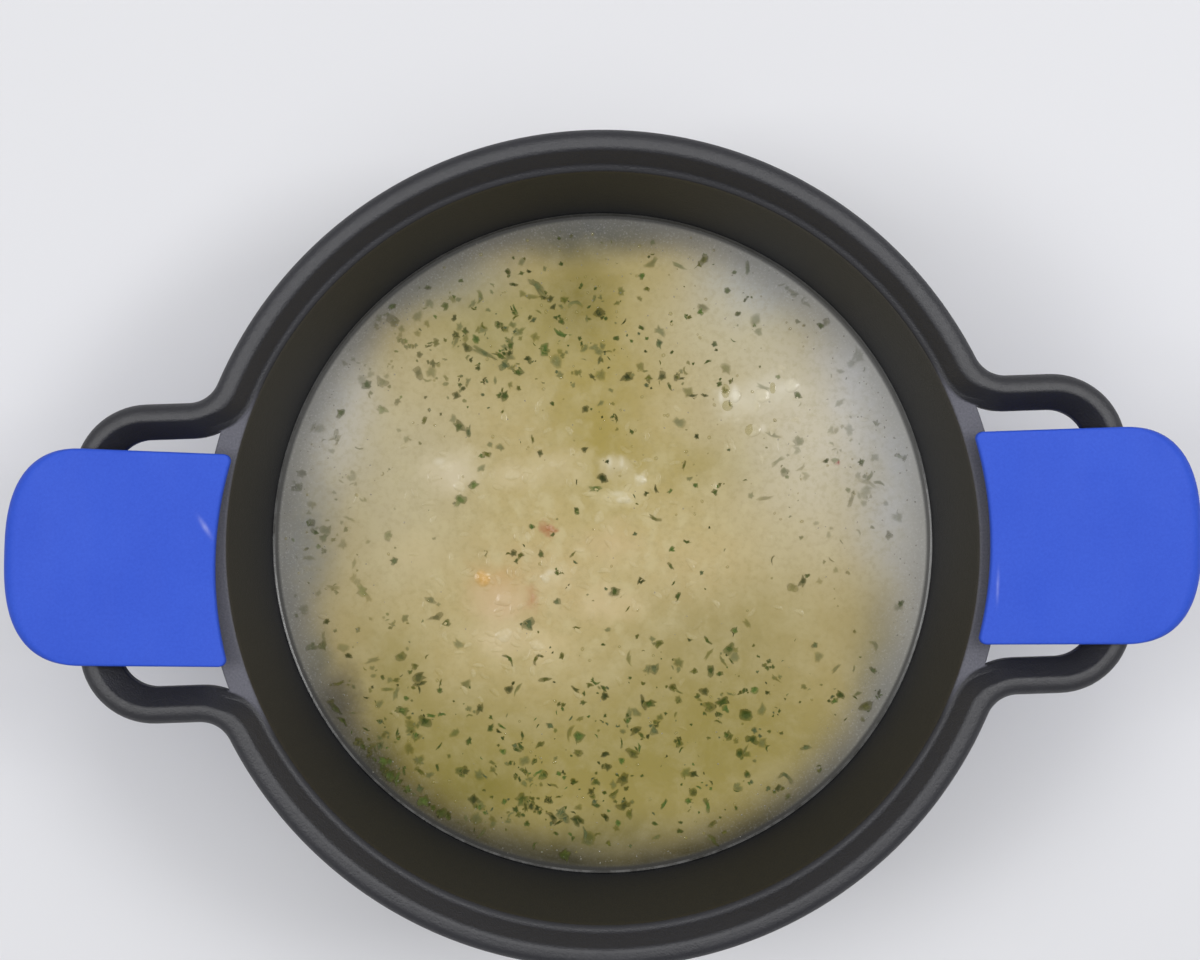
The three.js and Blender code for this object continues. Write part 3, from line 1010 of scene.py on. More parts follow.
def clearness(x, y):
    # The flakes fade into the broth's tone under its painted reflection in the pale parts at the left and
    # right, and under its painted light and shade next to the wall
    aside = smoothStep(np.abs(x), *reflectionVeil["fromMiddle"]) * smoothStep(y, *reflectionVeil["fromFront"])
    atWall = smoothStep(np.hypot(x, y), *reflectionVeil["nearWall"])
    return (1 - reflectionVeil["aside"] * aside) * (1 - reflectionVeil["atWall"] * atWall)


def makeFlakes(seeds, values, rng):
    # Each flake is a ragged disc, stretched to length and width, bent in its plane by curl, bowed up at its
    # ends by cup, folded along its middle, and tilted. It then lies on the broth.
    count = len(seeds["x"])
    corners = values["corners"]
    step = fullTurn / corners
    shift = flake["cornerShift"]
    angle = (np.arange(corners) + rng.uniform(-shift, shift, (count, corners))) * step
    reach = rng.uniform(values["ragged"], flake["widest"], (count, corners))
    zero = np.zeros((count, 1))
    share = np.concatenate([zero, 0 * angle + flake["innerRing"], 0 * angle + 1, zero], 1)
    around = np.concatenate([zero, angle, angle, zero], 1)
    reach = np.concatenate([zero, reach, reach, zero], 1) * share
    u = reach * np.cos(around)
    v = reach * np.sin(around)
    column = {key: value[:, None] for key, value in seeds.items()}
    x = u * column["length"] / 2
    y = v * column["width"] / 2
    bend = column["curl"] / (column["length"] / 2)
    bend = np.where(np.abs(bend) < 1e-3, 1e-3, bend)
    bentX = (1 / bend - y) * np.sin(bend * x)
    bentY = 1 / bend - (1 / bend - y) * np.cos(bend * x)
    side = np.ones((count, reach.shape[1]))
    side[:, -1] = -1
    body = values["thickness"] * (1 - share) * side
    height = column["cup"] * u ** 2 + column["fold"] * np.abs(v) * column["width"] / 2
    height = height + column["tilt"] * y + body
    height = height - height.min(1, keepdims=True) - values["sink"]
    worldX, worldY = laidOut(seeds, bentX, bentY)
    worldZ = surfaceHeight(worldX, worldY) + height
    points = np.stack([worldX, worldY, worldZ], -1).reshape(-1, 3)
    # Corners turn darker or paler, or towards the brown of a dry edge
    shade = rng.uniform(*flake["shade"], (count, reach.shape[1], 1))
    dry = flake["dryShare"] * rng.random((count, reach.shape[1], 1)) ** 2 * share[..., None]
    tone = (seeds["tone"][:, None, :] * (1 - dry) + np.array(fromScreen(*flake["dryEdge"])) * dry) * shade
    opacity = np.interp(share, [0, flake["innerRing"], 1], values["opacity"]) * column["clear"]
    return (points, *flakeFaces(count, corners)), tinted(tone, opacity)


flake = {
    "cornerShift": 0.38,  # of a step
    "widest": 1.1,
    "innerRing": 0.55,
    "shade": (0.62, 1.2),
    "dryShare": 0.45,
    "dryEdge": (112, 102, 48),
    "stripShare": 0.26,
    "stripWidth": (0.3, 0.5),  # of the length
    "width": (0.6, 1.0),
    "stripLonger": 1.35,
    "stripCurl": 0.75,
    "curl": 0.2,
    "cup": 0.12,
    "fold": 0.22,
    "tilt": 0.09,
    "toneSpread": (0.85, 1.15),
}
herbTones = {
    "dark": (54, 61, 18),
    "green": (64, 78, 24),
    "olive": (90, 90, 32),
    "leaf": (80, 102, 40),
    "grey": (84, 94, 58),
}
# Where the flakes gather: x, y, spread along x and y, count of floating and of sunk flakes
drifts = {
    "everywhere": (0, 0, 82, 82, 190, 80),
    "top": (-10, 84, 30, 18, 60, 32),
    "topLeft": (-60, 76, 20, 16, 44, 34),
    "topRight": (30, 70, 16, 14, 14, 12),
    "right": (94, 36, 13, 36, 12, 40),
    "left": (-108, -8, 9, 36, 18, 40),
    "low": (-8, -82, 54, 18, 120, 34),
    "lowRight": (44, -60, 22, 14, 42, 24),
    "lowLeft": (-78, -66, 20, 16, 22, 16),
    "lowEdge": (-24, -108, 44, 9, 64, 34),
    "lowLeftEdge": (-84, -82, 12, 16, 20, 18),
}
herb = {
    "seed": 11,
    "darkest": (22, 32, 12),
    "middleLength": 2.2,
    "lengthSpread": 0.56,
    "smallest": 0.6,
    "largest": 6.4,
    "reach": 126.5,  # flakes lie no farther than this from the middle
    "pairReach": 127.5,  # and their close neighbours than this
    "floatingHerbs": {
        "corners": 11,
        "ragged": 0.48,
        "thickness": 0.04,
        "sink": 0.03,
        "relief": 1,
        "opacity": (1, 0.96, 0.5),
        "scale": 1,
        "pairShare": 0.16,
        "pairSpread": 1.2,
        "tones": ("dark", "green", "green", "olive", "olive", "leaf", "grey"),
    },
    "sunkHerbs": {
        "corners": 11,
        "ragged": 0.5,
        "thickness": 0.02,
        "sink": 0,
        "relief": 0,
        "opacity": (0.68, 0.6, 0.15),
        "scale": 1.35,
        "pairShare": 0.2,
        "pairSpread": 1.6,
        "tones": ("grey", "grey", "green", "olive"),
    },
}
reflectionVeil = {
    "aside": 0.5,
    "atWall": 0.2,
    "fromMiddle": (40, 92),
    "fromFront": (-70, -20),
    "nearWall": (112, 129),
}
# The flakes placed one by one
marked = {
    "longer": 1.06,  # the soft ragged edge takes some of each flake away
    "wider": 1.18,
    "cup": 0.08,
    "fold": 0.15,
    "tilt": 0.04,
    "clear": 0.9,
}
# Flakes that stand out: x, y, length, width, turn in degrees, curl, tone
markedFlakes = {
    "stemTop": (-22.9, 104.1, 11.5, 2.9, -48, -0.1, "grey"),
    "stemTopEnd": (-29, 109.5, 3.4, 1.8, 10, 0.3, "green"),
    "stemHead": (-17.6, 99, 4.6, 2.8, 20, 0.3, "dark"),
    "stemHeadSide": (-20.5, 99.5, 3.4, 1.8, -20, 0.2, "dark"),
    "stemHeadLow": (-16.5, 95.6, 4.0, 2.2, 75, 0.1, "dark"),
    "stemLeft": (-45, 78, 12.0, 2.6, -30, 0, "grey"),
    "stemLeftHead": (-52, 80.5, 4.4, 3.6, 0, 0, "dark"),
    "forkedLeft": (-56.4, 48.7, 6.4, 3.6, -60, 0.4, "green"),
    "stripLeft": (-70, 51.7, 4.6, 1.8, 60, 0.2, "olive"),
    "softUpperLeft": (-92.7, 67, 4.6, 3.4, 20, 0.2, "grey"),
    "softLeft": (-103.6, 56, 4.6, 3.0, 70, 0.2, "grey"),
    "arrowLeft": (-84, -4.5, 4.6, 3.4, 60, 0.4, "grey"),
    "wallLeft": (-118, 12, 3.0, 2.2, 60, 0.3, "grey"),
    "wallLeftLow": (-115, 8, 4.2, 1.8, -20, 0.4, "grey"),
    "knotMiddle": (-25, -3.7, 4.4, 2.2, -70, 0.2, "green"),
    "paleKnot": (-19.4, -23, 3.6, 3.2, 0, 0.2, "grey"),
    "stripRight": (27, -10.4, 3.8, 1.8, -50, 0.3, "green"),
    "plateLowLeft": (-77, -47, 3.4, 2.8, 0, 0.1, "olive"),
    "forkedLow": (-39.7, -57.5, 4.8, 3.4, 60, 0.5, "dark"),
    "barLow": (-51.6, -65, 5.0, 2.4, 70, 0.3, "dark"),
    "stripLow": (-13, -58.5, 4.8, 2.0, -30, 0.2, "dark"),
    "barLowLeft": (-58.5, -90, 5.0, 3.2, 60, 0.2, "dark"),
    "fanLow": (5, -95, 6.0, 4.2, 50, 0.4, "dark"),
    "fanBelow": (5, -106, 6.2, 3.4, 10, 0.5, "dark"),
    "wallRight": (119, -28.5, 3.6, 2.8, 0, 0.2, "grey"),
    "wallLowRight": (107, -55, 4.2, 2.6, -50, 0.2, "grey"),
    "farRightKnot": (105, 29, 3.4, 2.6, 70, 0.2, "grey"),
    "softTopRight": (53.6, 99.6, 4.2, 3.0, 30, 0.3, "grey"),
    "softUpperRight": (90.7, 84.3, 3.6, 2.2, -30, 0.3, "grey"),
    "knotTopRight": (26, 66, 5.2, 3.4, 75, 0.3, "dark"),
    "strandTopRight": (29, 62, 4.6, 1.4, -70, 0.4, "green"),
    "pairRight": (80.5, 56.5, 4.6, 3.2, 0, 0.2, "grey"),
    "leafMiddle": (-2, 22, 6.6, 3.0, 0, 0.15, "leaf"),
    "leafLeft": (-51, 25, 4.6, 3.4, 30, 0.5, "leaf"),
    "plateLeft": (-24, 37, 3.2, 2.8, 80, 0, "dark"),
    "plateMiddle": (-6, 38, 3.4, 2.6, 70, 0.1, "dark"),
    "curlRight": (21, 9, 6.2, 1.7, -28, 0.7, "olive"),
    "hookRight": (22, 21, 5.4, 1.5, -75, 1.1, "dark"),
    "hookFarRight": (28, 20, 3.2, 1.4, 40, 0.3, "leaf"),
    "knotLeft": (-36, -3, 3.6, 2.4, 60, 0.2, "dark"),
    "knotLeftLow": (-35, -6, 2.6, 2.0, 100, 0.2, "green"),
    "sliverMiddle": (-12, -4, 4.2, 1.2, 48, 0.4, "olive"),
    "plateGrey": (19, -51, 5.4, 4.4, 10, 0, "grey"),
    "plateLow": (-64, -30, 3.4, 2.8, 10, 0.2, "green"),
    "bigLeafLow": (-36, -102, 5.2, 5.6, -50, 0.1, "green"),
    "curlTop": (-2, 67, 4.6, 1.5, -55, 0.5, "dark"),
    "glintTop": (-5, 54, 4.0, 2.8, 30, 0.2, "dark"),
    "crossTop": (32, 66, 4.4, 2.2, 80, 0.2, "dark"),
    "crossTopSide": (34, 65, 3.4, 1.3, 10, 0.5, "dark"),
    "chainTop": (38, 58, 5.6, 1.4, 8, 0.3, "dark"),
    "chainTopSide": (43, 58, 3.4, 1.2, -20, 0.3, "dark"),
    "dropCurl": (53, 54, 3.6, 0.9, -65, 0.8, "dark"),
    "rightKnot": (80, -18, 5.2, 3.4, 60, 0.2, "dark"),
    "rightKnotSide": (82, -16, 3.0, 1.8, 0, 0.3, "green"),
    "leftKnot": (-112, -28, 4.0, 2.4, 30, 0.3, "dark"),
    "leftCurl": (-104, -42, 5.2, 2.0, -20, 1.0, "dark"),
    "redSide": (91, 30, 3.0, 2.0, 30, 0.3, "dark"),
    "lowCurl": (11, -76, 6.0, 3.6, 40, 0.5, "dark"),
    "lowCurlSide": (13, -78, 3.6, 2.2, -40, 0.3, "green"),
    "lowKnot": (-1, -90, 4.4, 3.2, 15, 0.2, "dark"),
    "lowPair": (-6, -96, 4.0, 3.4, 60, 0.1, "green"),
    "lowPairSide": (-8, -100, 3.6, 2.8, 10, 0.2, "dark"),
    "lowLeftPlate": (-10, -64, 3.2, 2.0, 10, 0.2, "green"),
    "lowMiddlePlate": (18, -76, 4.2, 4.0, 30, 0.1, "grey"),
    "shortMiddle": (-20, 4, 2.6, 1.4, 60, 0.2, "green"),
    "leafLow": (-13, -84, 5.0, 2.8, -30, 0.2, "olive"),
    "glintRight": (84, -44, 3.0, 2.4, 30, 0.2, "grey"),
    "lowRightKnot": (39, -61, 4.6, 3.0, -20, 0.3, "dark"),
    "lowRightKnotSide": (36, -63, 3.2, 2.2, 40, 0.3, "green"),
    "farLowRight": (79, -85, 5.0, 2.4, 10, 0.4, "grey"),
    "edgeTopLeft": (-81.5, 98, 3.6, 2.4, 40, 0.2, "grey"),
}
# Pale flakes that stand out under the surface, written the same way
markedUnder = {
    "greyOval": (-28.6, 114.1, 5.0, 2.6, 66, 0, "grey"),
    "paleTop": (-49, 98, 5.0, 2.6, 60, 0.2, "grey"),
    "paleRight": (62, 108, 8.0, 2.2, 80, 0.4, "grey"),
    "paleTopRight": (24, 112, 8.0, 3.0, 40, 0.8, "green"),
    "leftShade": (-112, 6, 5.0, 3.6, 40, 0.4, "grey"),
    "lowLeftShade": (-92, -62, 6.0, 3.0, 60, 0.8, "grey"),
}


def heldInside(places, limit):
    # Places beyond the limit are drawn in to it
    return places * np.minimum(1, limit / np.maximum(np.hypot(*places.T), 1e-6))[:, None]


def scattered(x, y, wide, tall, count, rng):
    return np.array([x, y]) + rng.normal(0, 1, (count, 2)) * [wide, tall]


def driftPlaces(which, rng):
    # Points of every drift, kept on the broth; the wide drift is spread evenly over its disc
    found = []
    for name, (x, y, wide, tall, *counts) in drifts.items():
        count = counts[which]
        if name == "everywhere":
            angle = rng.uniform(0, fullTurn, count)
            far = herb["reach"] * np.sqrt(rng.uniform(0, 1, count))
            found.append(np.stack([far * np.cos(angle), far * np.sin(angle)], -1))
        else:
            found.append(scattered(x, y, wide, tall, count, rng))
    return heldInside(np.concatenate(found), herb["reach"])


def flakeSeeds(places, values, rng):
    # Sizes follow a skewed spread: many specks, few large flakes. A quarter are strips, some of them curled.
    count = len(places)
    length = herb["middleLength"] * np.exp(rng.normal(0, herb["lengthSpread"], count)) * values["scale"]
    length = np.clip(length, herb["smallest"], herb["largest"])
    strip = rng.random(count) < flake["stripShare"]
    slim = rng.uniform(*flake["stripWidth"], count)
    width = length * np.where(strip, slim, rng.uniform(*flake["width"], count))
    length = np.where(strip, length * flake["stripLonger"], length)
    curl = np.where(strip, rng.normal(0, flake["stripCurl"], count), rng.normal(0, flake["curl"], count))
    palette = np.array([fromScreen(*herbTones[name]) for name in values["tones"]])
    picked = palette[rng.integers(0, len(palette), count)]
    return {
        "x": places[:, 0],
        "y": places[:, 1],
        "length": length,
        "width": width,
        "turn": rng.uniform(0, fullTurn, count),
        "curl": curl,
        "cup": length * rng.uniform(0, flake["cup"], count),
        "fold": rng.uniform(0, flake["fold"], count),
        "tilt": rng.normal(0, flake["tilt"], count),
        "clear": clearness(*places.T),
        "tone": picked * rng.uniform(*flake["toneSpread"], (count, 1)),
    }


def clustered(places, values, rng):
    # A share of the flakes get three close neighbours
    chosen = places[rng.random(len(places)) < values["pairShare"]]
    near = [chosen + rng.normal(0, values["pairSpread"], chosen.shape) for _ in range(3)]
    return heldInside(np.concatenate([places, *near]), herb["pairReach"])


def markedSeeds(chosen):
    rows = np.array([row[:6] for row in chosen.values()], float)
    tones = np.array([fromScreen(*herbTones[row[6]]) for row in chosen.values()])
    return {
        "x": rows[:, 0],
        "y": rows[:, 1],
        "length": rows[:, 2] * marked["longer"],
        "width": rows[:, 3] * marked["wider"],
        "turn": np.radians(rows[:, 4]),
        "curl": rows[:, 5],
        "cup": marked["cup"] * rows[:, 2],
        "fold": np.full(len(rows), marked["fold"]),
        "tilt": np.full(len(rows), marked["tilt"]),
        "clear": np.full(len(rows), marked["clear"]),
        "tone": tones,
    }


def herbPaint(name):
    # Wet dried leaf: its own tone, unevenly dark. By the tint's alpha it shows through a film of broth.
    paint = Paint(name)
    place = paint.place()
    fine = paint.noise(place, 0.5, 3, 0.65)
    dark = paint.ramp(fine, 0.35, 0.7) * 0.35
    leaf = paint.mix(dark, paint.attribute("tint"), fromScreen(*herb["darkest"]))
    through = brothTone(paint, place, paint.noise(place, 2.6, 4, 0.65))
    paint.set(
        BaseColor=paint.mix(paint.attribute("tint", "Alpha"), through, leaf),
        Roughness=0.4 + 0.25 * fine,
        Normal=paint.bump(fine, 0.05, 0.4),
        SpecularIORLevel=0.12,
    )
    return paint


def makeHerbs():
    rng = np.random.default_rng(herb["seed"])
    kinds = {"floatingHerbs": (markedFlakes, "wetHerb"), "sunkHerbs": (markedUnder, "sunkHerb")}
    for which, (name, (chosen, paintName)) in enumerate(kinds.items()):
        values = herb[name]
        places = clustered(driftPlaces(which, rng), values, rng)
        loose = flakeSeeds(places, values, rng)
        seeds = {key: np.concatenate([known, loose[key]]) for key, known in markedSeeds(chosen).items()}
        for key in ("cup", "fold", "tilt"):
            seeds[key] = seeds[key] * values["relief"]
        shape, colours = makeFlakes(seeds, values, rng)
        addPiece(name, shape, herbPaint(paintName), colours=colours, smooth=False)


makeHerbs()


def eggFaces(rings, around):
    # Rings between two poles, which are the last two points
    quads = gridFaces(rings, around, closedColumns=True)
    j = np.arange(around)
    after = (j + 1) % around
    first = np.stack([0 * j + rings * around, j, after], -1)
    lastRing = (rings - 1) * around
    last = np.stack([0 * j + rings * around + 1, lastRing + after, lastRing + j], -1)
    return quads, np.concatenate([first, last])


egg = {
    "palest": (226, 219, 196),
    "swellRates": (3.1, 4.3, 5.2),  # waves of unevenness along length, width and height
    "toneSpread": (0.94, 1.05),
    "under": 0.01,  # below the broth where nothing stands out
}


def makeEggs(seeds, values, rng):
    # Egg shapes with uneven sides, sunk along their long axis: the unit ball stretched to length, width and
    # height, times 1 plus three slow sines. What stands above the broth is drawn out softly into its surface,
    # as under a film, and its tint's alpha says how much it shows.
    rings = values["rings"]
    count = len(seeds["x"])
    polar = np.linspace(0, math.pi, rings + 2)[1:-1][:, None]
    side = np.radians(values["aroundDeg"])[None, :]
    unit = np.stack(np.broadcast_arrays(
        np.cos(polar), np.sin(polar) * np.cos(side), np.sin(polar) * np.sin(side)), -1).reshape(-1, 3)
    unit = np.concatenate([unit, [[1, 0, 0], [-1, 0, 0]]])
    phase = rng.uniform(0, fullTurn, (3, count, 1))
    swell = sum(np.sin(rate * unit[:, k] + phase[k]) for k, rate in enumerate(egg["swellRates"]))
    factor = (1 + values["uneven"] * swell / 3)[..., None]
    sizes = np.stack([seeds["length"], seeds["width"], seeds["height"]], -1)[:, None, :] / 2
    local = unit * factor * sizes
    local[..., 1] += values["bend"] / seeds["length"][:, None] * local[..., 0] ** 2
    x, y = laidOut(seeds, local[..., 0], local[..., 1])
    centre = surfaceHeight(seeds["x"], seeds["y"]) + seeds["emerge"] - seeds["height"] / 2
    surface = surfaceHeight(x, y)
    above = centre[:, None] + local[..., 2] - surface
    full = values["fade"] * seeds["emerge"][:, None]
    shown = smoothStep(above, 0, full)
    height = above * smoothStep(np.abs(above), 0, full) * values["relief"] - egg["under"]
    tone = seeds["tone"][:, None, :] * rng.uniform(*egg["toneSpread"], (count, unit.shape[0], 1))
    quads, tris = eggFaces(rings, side.shape[1])
    points = np.stack([x, y, surface + height], -1).reshape(-1, 3)
    shape = shell(points, repeated(quads, count, len(unit)), repeated(tris, count, len(unit)))
    return shape, tinted(tone, shown * seeds["opacity"][:, None])


rice = {
    "seed": 23,
    "rings": 7,
    "aroundDeg": (-90, 15, 40, 58, 74, 90, 106, 122, 140, 165),
    "uneven": 0.06,
    "bend": 0.5,
    "fade": 0.8,  # the share of what stands out over which a grain comes into sight
    "relief": 0.3,
    "reach": 116,  # grains lie no farther than this from the middle
    "opacity": (0.06, 0.24),
    "length": (5.2, 6.6),
    "width": (2.4, 3.0),
    "heightShare": 0.85,  # of the width
    "emerge": (0.3, 0.7),
    "tones": ((210, 199, 160), (202, 190, 150), (216, 206, 172)),
}
# Where grains come up to the surface: x, y, spread along x and y, count
riceHeaps = {
    "middle": (-10, 4, 34, 28, 110),
    "brightGroup": (8, 25, 9, 8, 16),
    "leftGroup": (-56, 30, 11, 8, 14),
    "upperGroup": (-26, 31, 12, 6, 12),
    "warmGroup": (-36, -17, 13, 8, 20),
    "lowGroup": (-36, -37, 15, 8, 20),
    "rightGroup": (64, 55, 16, 10, 20),
    "lowRight": (20, -26, 20, 14, 16),
    "lowLeft": (-56, -46, 18, 12, 12),
}
clam = {
    "seed": 31,
    "rings": 17,
    "aroundDeg": (-90, -20, 5, 20, 32, 44, 54, 63, 72, 81, 90, 99, 108, 117, 126, 136, 148, 160, 175, 200),
    "uneven": 0.22,
    "bend": 0.2,
    "fade": 1.0,
    "relief": 0.5,
}
clamTones = {
    "cream": (220, 210, 178),
    "pale": (226, 219, 194),
    "warm": (208, 188, 150),
    "orange": (216, 168, 92),
    "pink": (186, 136, 104),
}
# Pieces of clam that come up to the surface: x, y, length, width, height, turn in degrees, how far out, how
# much they show, tone
clamPieces = {
    "leftBig": (-62, 32, 12, 9, 5, 20, 0.7, 0.35, "cream"),
    "leftSmall": (-57, 25, 8, 6, 3, -30, 0.5, 0.3, "cream"),
    "upper": (-35, 29, 11, 7, 4, 10, 0.5, 0.25, "cream"),
    "upperMiddle": (-18, 33, 10, 7, 4, -15, 0.4, 0.25, "cream"),
    "brightTop": (6.4, 32, 8, 7, 4, 80, 0.9, 0.15, "cream"),
    "brightRight": (15, 25, 8.5, 7, 4, -40, 0.8, 0.45, "pale"),
    "brightLow": (8, 18, 9, 6, 4, 5, 0.85, 0.45, "pale"),
    "underBright": (-1, 10, 8, 6, 3, 60, 0.4, 0.25, "cream"),
    "orangeBit": (-49, -13, 9, 8.5, 5, 50, 1.2, 0.85, "orange"),
    "besideOrange": (-40, -21, 12, 8, 5, -10, 0.6, 0.2, "warm"),
    "warmTop": (-23, -13, 7, 6, 3, 30, 0.6, 0.4, "pale"),
    "pinkSmudge": (-21, 7, 6.5, 3.6, 3, -40, 0.4, 0.6, "pink"),
    "pinkBelow": (-29, -21, 6, 5, 3, 80, 0.4, 0.5, "pink"),
    "lowLeft": (-41, -36, 11, 8, 4, 15, 0.6, 0.35, "cream"),
    "lowMiddle": (-27, -40, 9, 7, 4, -20, 0.5, 0.35, "cream"),
    "rightTop": (55, 57, 8, 6, 4, 60, 0.7, 0.35, "pale"),
    "rightMiddle": (66, 57, 9, 6, 4, 0, 0.6, 0.35, "cream"),
    "rightFar": (78, 61, 10, 7, 4, 20, 0.6, 0.35, "pale"),
    "rightLow": (62, 43, 8, 6, 4, 30, 0.5, 0.25, "cream"),
    "middleLow": (0, -24, 9, 7, 4, 40, 0.4, 0.25, "cream"),
}


def softFoodPaint(name, sizeMm):
    # Boiled grain or meat: its own tone, unevenly paler, which by the tint's alpha shows through the broth
    paint = Paint(name)
    cloud = paint.ramp(paint.noise(paint.place(), sizeMm, 3, 0.6), 0.35, 0.7)
    own = paint.mix(cloud * 0.3, paint.attribute("tint"), seen(*egg["palest"]))
    share = paint.attribute("tint", "Alpha") * (0.6 + 0.6 * cloud)
    return wetFinish(paint, lambda tone: paint.mix(share, tone, own))


def makeRice():
    rng = np.random.default_rng(rice["seed"])
    places = np.concatenate([scattered(*heap, rng) for heap in riceHeaps.values()])
    places = heldInside(places, rice["reach"])
    count = len(places)
    palette = np.array([seen(*tone) for tone in rice["tones"]])
    width = rng.uniform(*rice["width"], count)
    seeds = {
        "x": places[:, 0],
        "y": places[:, 1],
        "length": rng.uniform(*rice["length"], count),
        "width": width,
        "height": width * rice["heightShare"],
        "turn": rng.uniform(0, fullTurn, count),
        "emerge": rng.uniform(*rice["emerge"], count),
        "opacity": rng.uniform(*rice["opacity"], count),
        "tone": palette[rng.integers(0, len(palette), count)],
    }
    shape, colours = makeEggs(seeds, rice, rng)
    addPiece("riceGrains", shape, softFoodPaint("boiledGrain", 0.8), colours=colours)


def makeClams():
    rng = np.random.default_rng(clam["seed"])
    rows = np.array([row[:8] for row in clamPieces.values()], float)
    seeds = dict(zip(("x", "y", "length", "width", "height", "turn", "emerge", "opacity"), rows.T))
    seeds["turn"] = np.radians(seeds["turn"])
    seeds["tone"] = np.array([seen(*clamTones[row[8]]) for row in clamPieces.values()])
    shape, colours = makeEggs(seeds, clam, rng)
    addPiece("clamBits", shape, softFoodPaint("clamMeat", 1.6), colours=colours)


makeRice()
makeClams()


dome = {
    "yellow": (196, 186, 120),
    "dip": 0.4,  # of the height, at the rim
    "under": 0.5,
    "lift": 0.01,
}


def makeDomes(seeds, values, rng):
    # Round or oval domes: the height falls with a power of the distance from the middle and dips under the
    # broth at the rim. The underside is a shallow fan. Opacity runs from the middle to the rim.
    rings = values["rings"]
    around = values["around"]
    count = len(seeds["x"])
    share = (np.arange(1, rings + 1) / rings)[:, None]
    angle = (np.arange(around) * fullTurn / around)[None, :]
    u = (share * np.cos(angle)).ravel()
    v = (share * np.sin(angle)).ravel()
    u = np.concatenate([[0], u, [0]])
    v = np.concatenate([[0], v, [0]])
    far = np.hypot(u, v)
    wobble = 1 + values["uneven"] * np.sin(2 * np.arctan2(v, u) + rng.uniform(0, fullTurn, (count, 1)))
    x = u * wobble * seeds["length"][:, None] / 2
    y = v * wobble * seeds["width"][:, None] / 2
    worldX, worldY = laidOut(seeds, x, y)
    rise = (1 + dome["dip"]) * (1 - far ** values["power"]) - dome["dip"]
    rise[-1] = -dome["under"]
    worldZ = surfaceHeight(worldX, worldY) + seeds["height"][:, None] * rise + dome["lift"]
    inner, outer = values["opacity"]
    shown = np.broadcast_to(inner + (outer - inner) * far ** 2, worldX.shape)
    tone = np.broadcast_to(seeds["tone"][:, None, :], (*worldX.shape, 3))
    j = np.arange(around)
    after = (j + 1) % around
    middle = np.stack([0 * j, 1 + j, 1 + after], -1)
    rim = 1 + (rings - 1) * around
    under = np.stack([0 * j + rim + around, rim + after, rim + j], -1)
    quads = 1 + gridFaces(rings, around, closedColumns=True)
    tris = np.concatenate([middle, under])
    points = np.stack([worldX, worldY, worldZ], -1).reshape(-1, 3)
    shape = shell(points, repeated(quads, count, len(u)), repeated(tris, count, len(u)))
    return shape, tinted(tone, shown)


oil = {
    "seed": 41,
    "size": (0.6, 2.0),
    "tall": 0.12,  # of the size
    "alongWall": 0,
    "big": {"rings": 7, "around": 28, "uneven": 0.12, "power": 2, "opacity": (0.35, 0.3)},
    "small": {"rings": 3, "around": 10, "uneven": 0.08, "power": 3, "opacity": (0.28, 0.3)},
    "tone": (186, 174, 108),
}
# Pools of oil: x, y, length, width, height, turn in degrees
oilPools = {
    "ring": (51.5, 59.5, 6.5, 4.2, 0.25, 75),
    "ringLow": (52, 53.5, 5.5, 4.4, 0.22, 80),
    "rightOval": (70.5, 60, 4.8, 3.2, 0.2, 80),
    "lowOval": (61, 43.5, 6.0, 4.6, 0.2, 20),
}
bubble = {
    "seed": 43,
    "rings": 3,
    "around": 8,
    "uneven": 0.0,
    "power": 2,
    "opacity": (0.25, 0.7),
    "tone": (214, 212, 204),
    "size": (0.35, 1.0),
    "tall": 0.42,
    "alongWall": 240,
}
fineSpread = {
    "reach": 128.5,  # what falls farther than this from the middle is left out
    "narrowest": 0.85,  # of the length
    "wallRing": (125, 3.5),  # where those along the wall lie, and how far they spread
    "wallLimits": (112, 130.5),
}
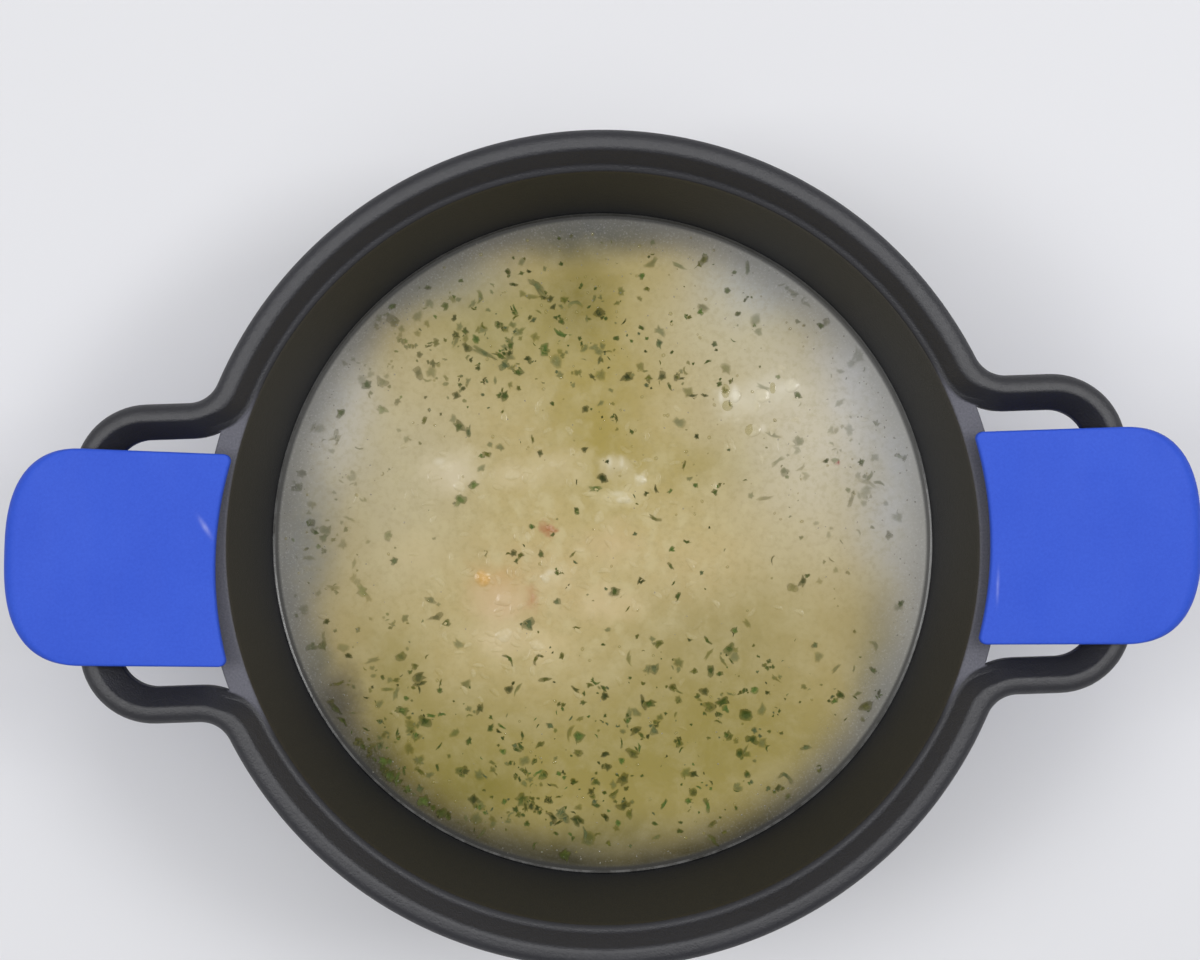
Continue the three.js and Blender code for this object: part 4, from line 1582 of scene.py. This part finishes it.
# Where small drops of oil and bubbles gather: x, y, spread along x and y, count of drops and of bubbles
fineDrifts = {
    "top": (0, 100, 34, 16, 60, 46),
    "topEdge": (4, 124, 40, 5, 0, 50),
    "middleTop": (10, 50, 30, 16, 40, 12),
    "right": (96, 30, 18, 40, 12, 50),
    "left": (-108, 20, 12, 40, 10, 44),
    "low": (0, -90, 60, 22, 30, 24),
    "everywhere": (0, 0, 70, 70, 60, 60),
}


def fineSeeds(which, values, rng):
    places = [scattered(*drift[:4], drift[4 + which], rng) for drift in fineDrifts.values()]
    places = np.concatenate(places)
    places = places[np.hypot(*places.T) < fineSpread["reach"]]
    angle = rng.uniform(0, fullTurn, values["alongWall"])
    far = rng.normal(*fineSpread["wallRing"], values["alongWall"]).clip(*fineSpread["wallLimits"])
    places = np.concatenate([places, np.stack([far * np.cos(angle), far * np.sin(angle)], -1)])
    count = len(places)
    across = rng.uniform(*values["size"], count)
    return {
        "x": places[:, 0],
        "y": places[:, 1],
        "length": across,
        "width": across * rng.uniform(fineSpread["narrowest"], 1, count),
        "height": across * values["tall"],
        "turn": rng.uniform(0, fullTurn, count),
        "tone": np.tile(seen(*values["tone"]), (count, 1)),
    }


def dropPaint(name, sizeMm):
    # A clear wet dome over the broth, tinted by its own tone
    paint = Paint(name)
    wave = paint.noise(paint.place(), sizeMm, 2)
    paint.set(
        BaseColor=paint.mix(wave * 0.3, paint.attribute("tint"), seen(*dome["yellow"])),
        Roughness=0.05 + 0.05 * wave,
        Normal=paint.bump(wave, 0.05, 0.2),
        Alpha=paint.attribute("tint", "Alpha"),
    )
    return paint


def makeDrops():
    rng = np.random.default_rng(oil["seed"])
    rows = np.array(list(oilPools.values()), float)
    pools = dict(zip(("x", "y", "length", "width", "height", "turn"), rows.T))
    pools["turn"] = np.radians(pools["turn"])
    pools["tone"] = np.tile(seen(*oil["tone"]), (len(rows), 1))
    shapes = [makeDomes(pools, oil["big"], rng)]
    shapes.append(makeDomes(fineSeeds(0, oil, rng), oil["small"], rng))
    colours = np.concatenate([colour for shape, colour in shapes])
    drops = joined([shape for shape, colour in shapes])
    addPiece("oilDrops", drops, dropPaint("clearOil", 2), colours=colours)
    rng = np.random.default_rng(bubble["seed"])
    shape, colours = makeDomes(fineSeeds(1, bubble, rng), bubble, rng)
    addPiece("bubbles", shape, dropPaint("clearBubble", 0.5), colours=colours)


makeDrops()
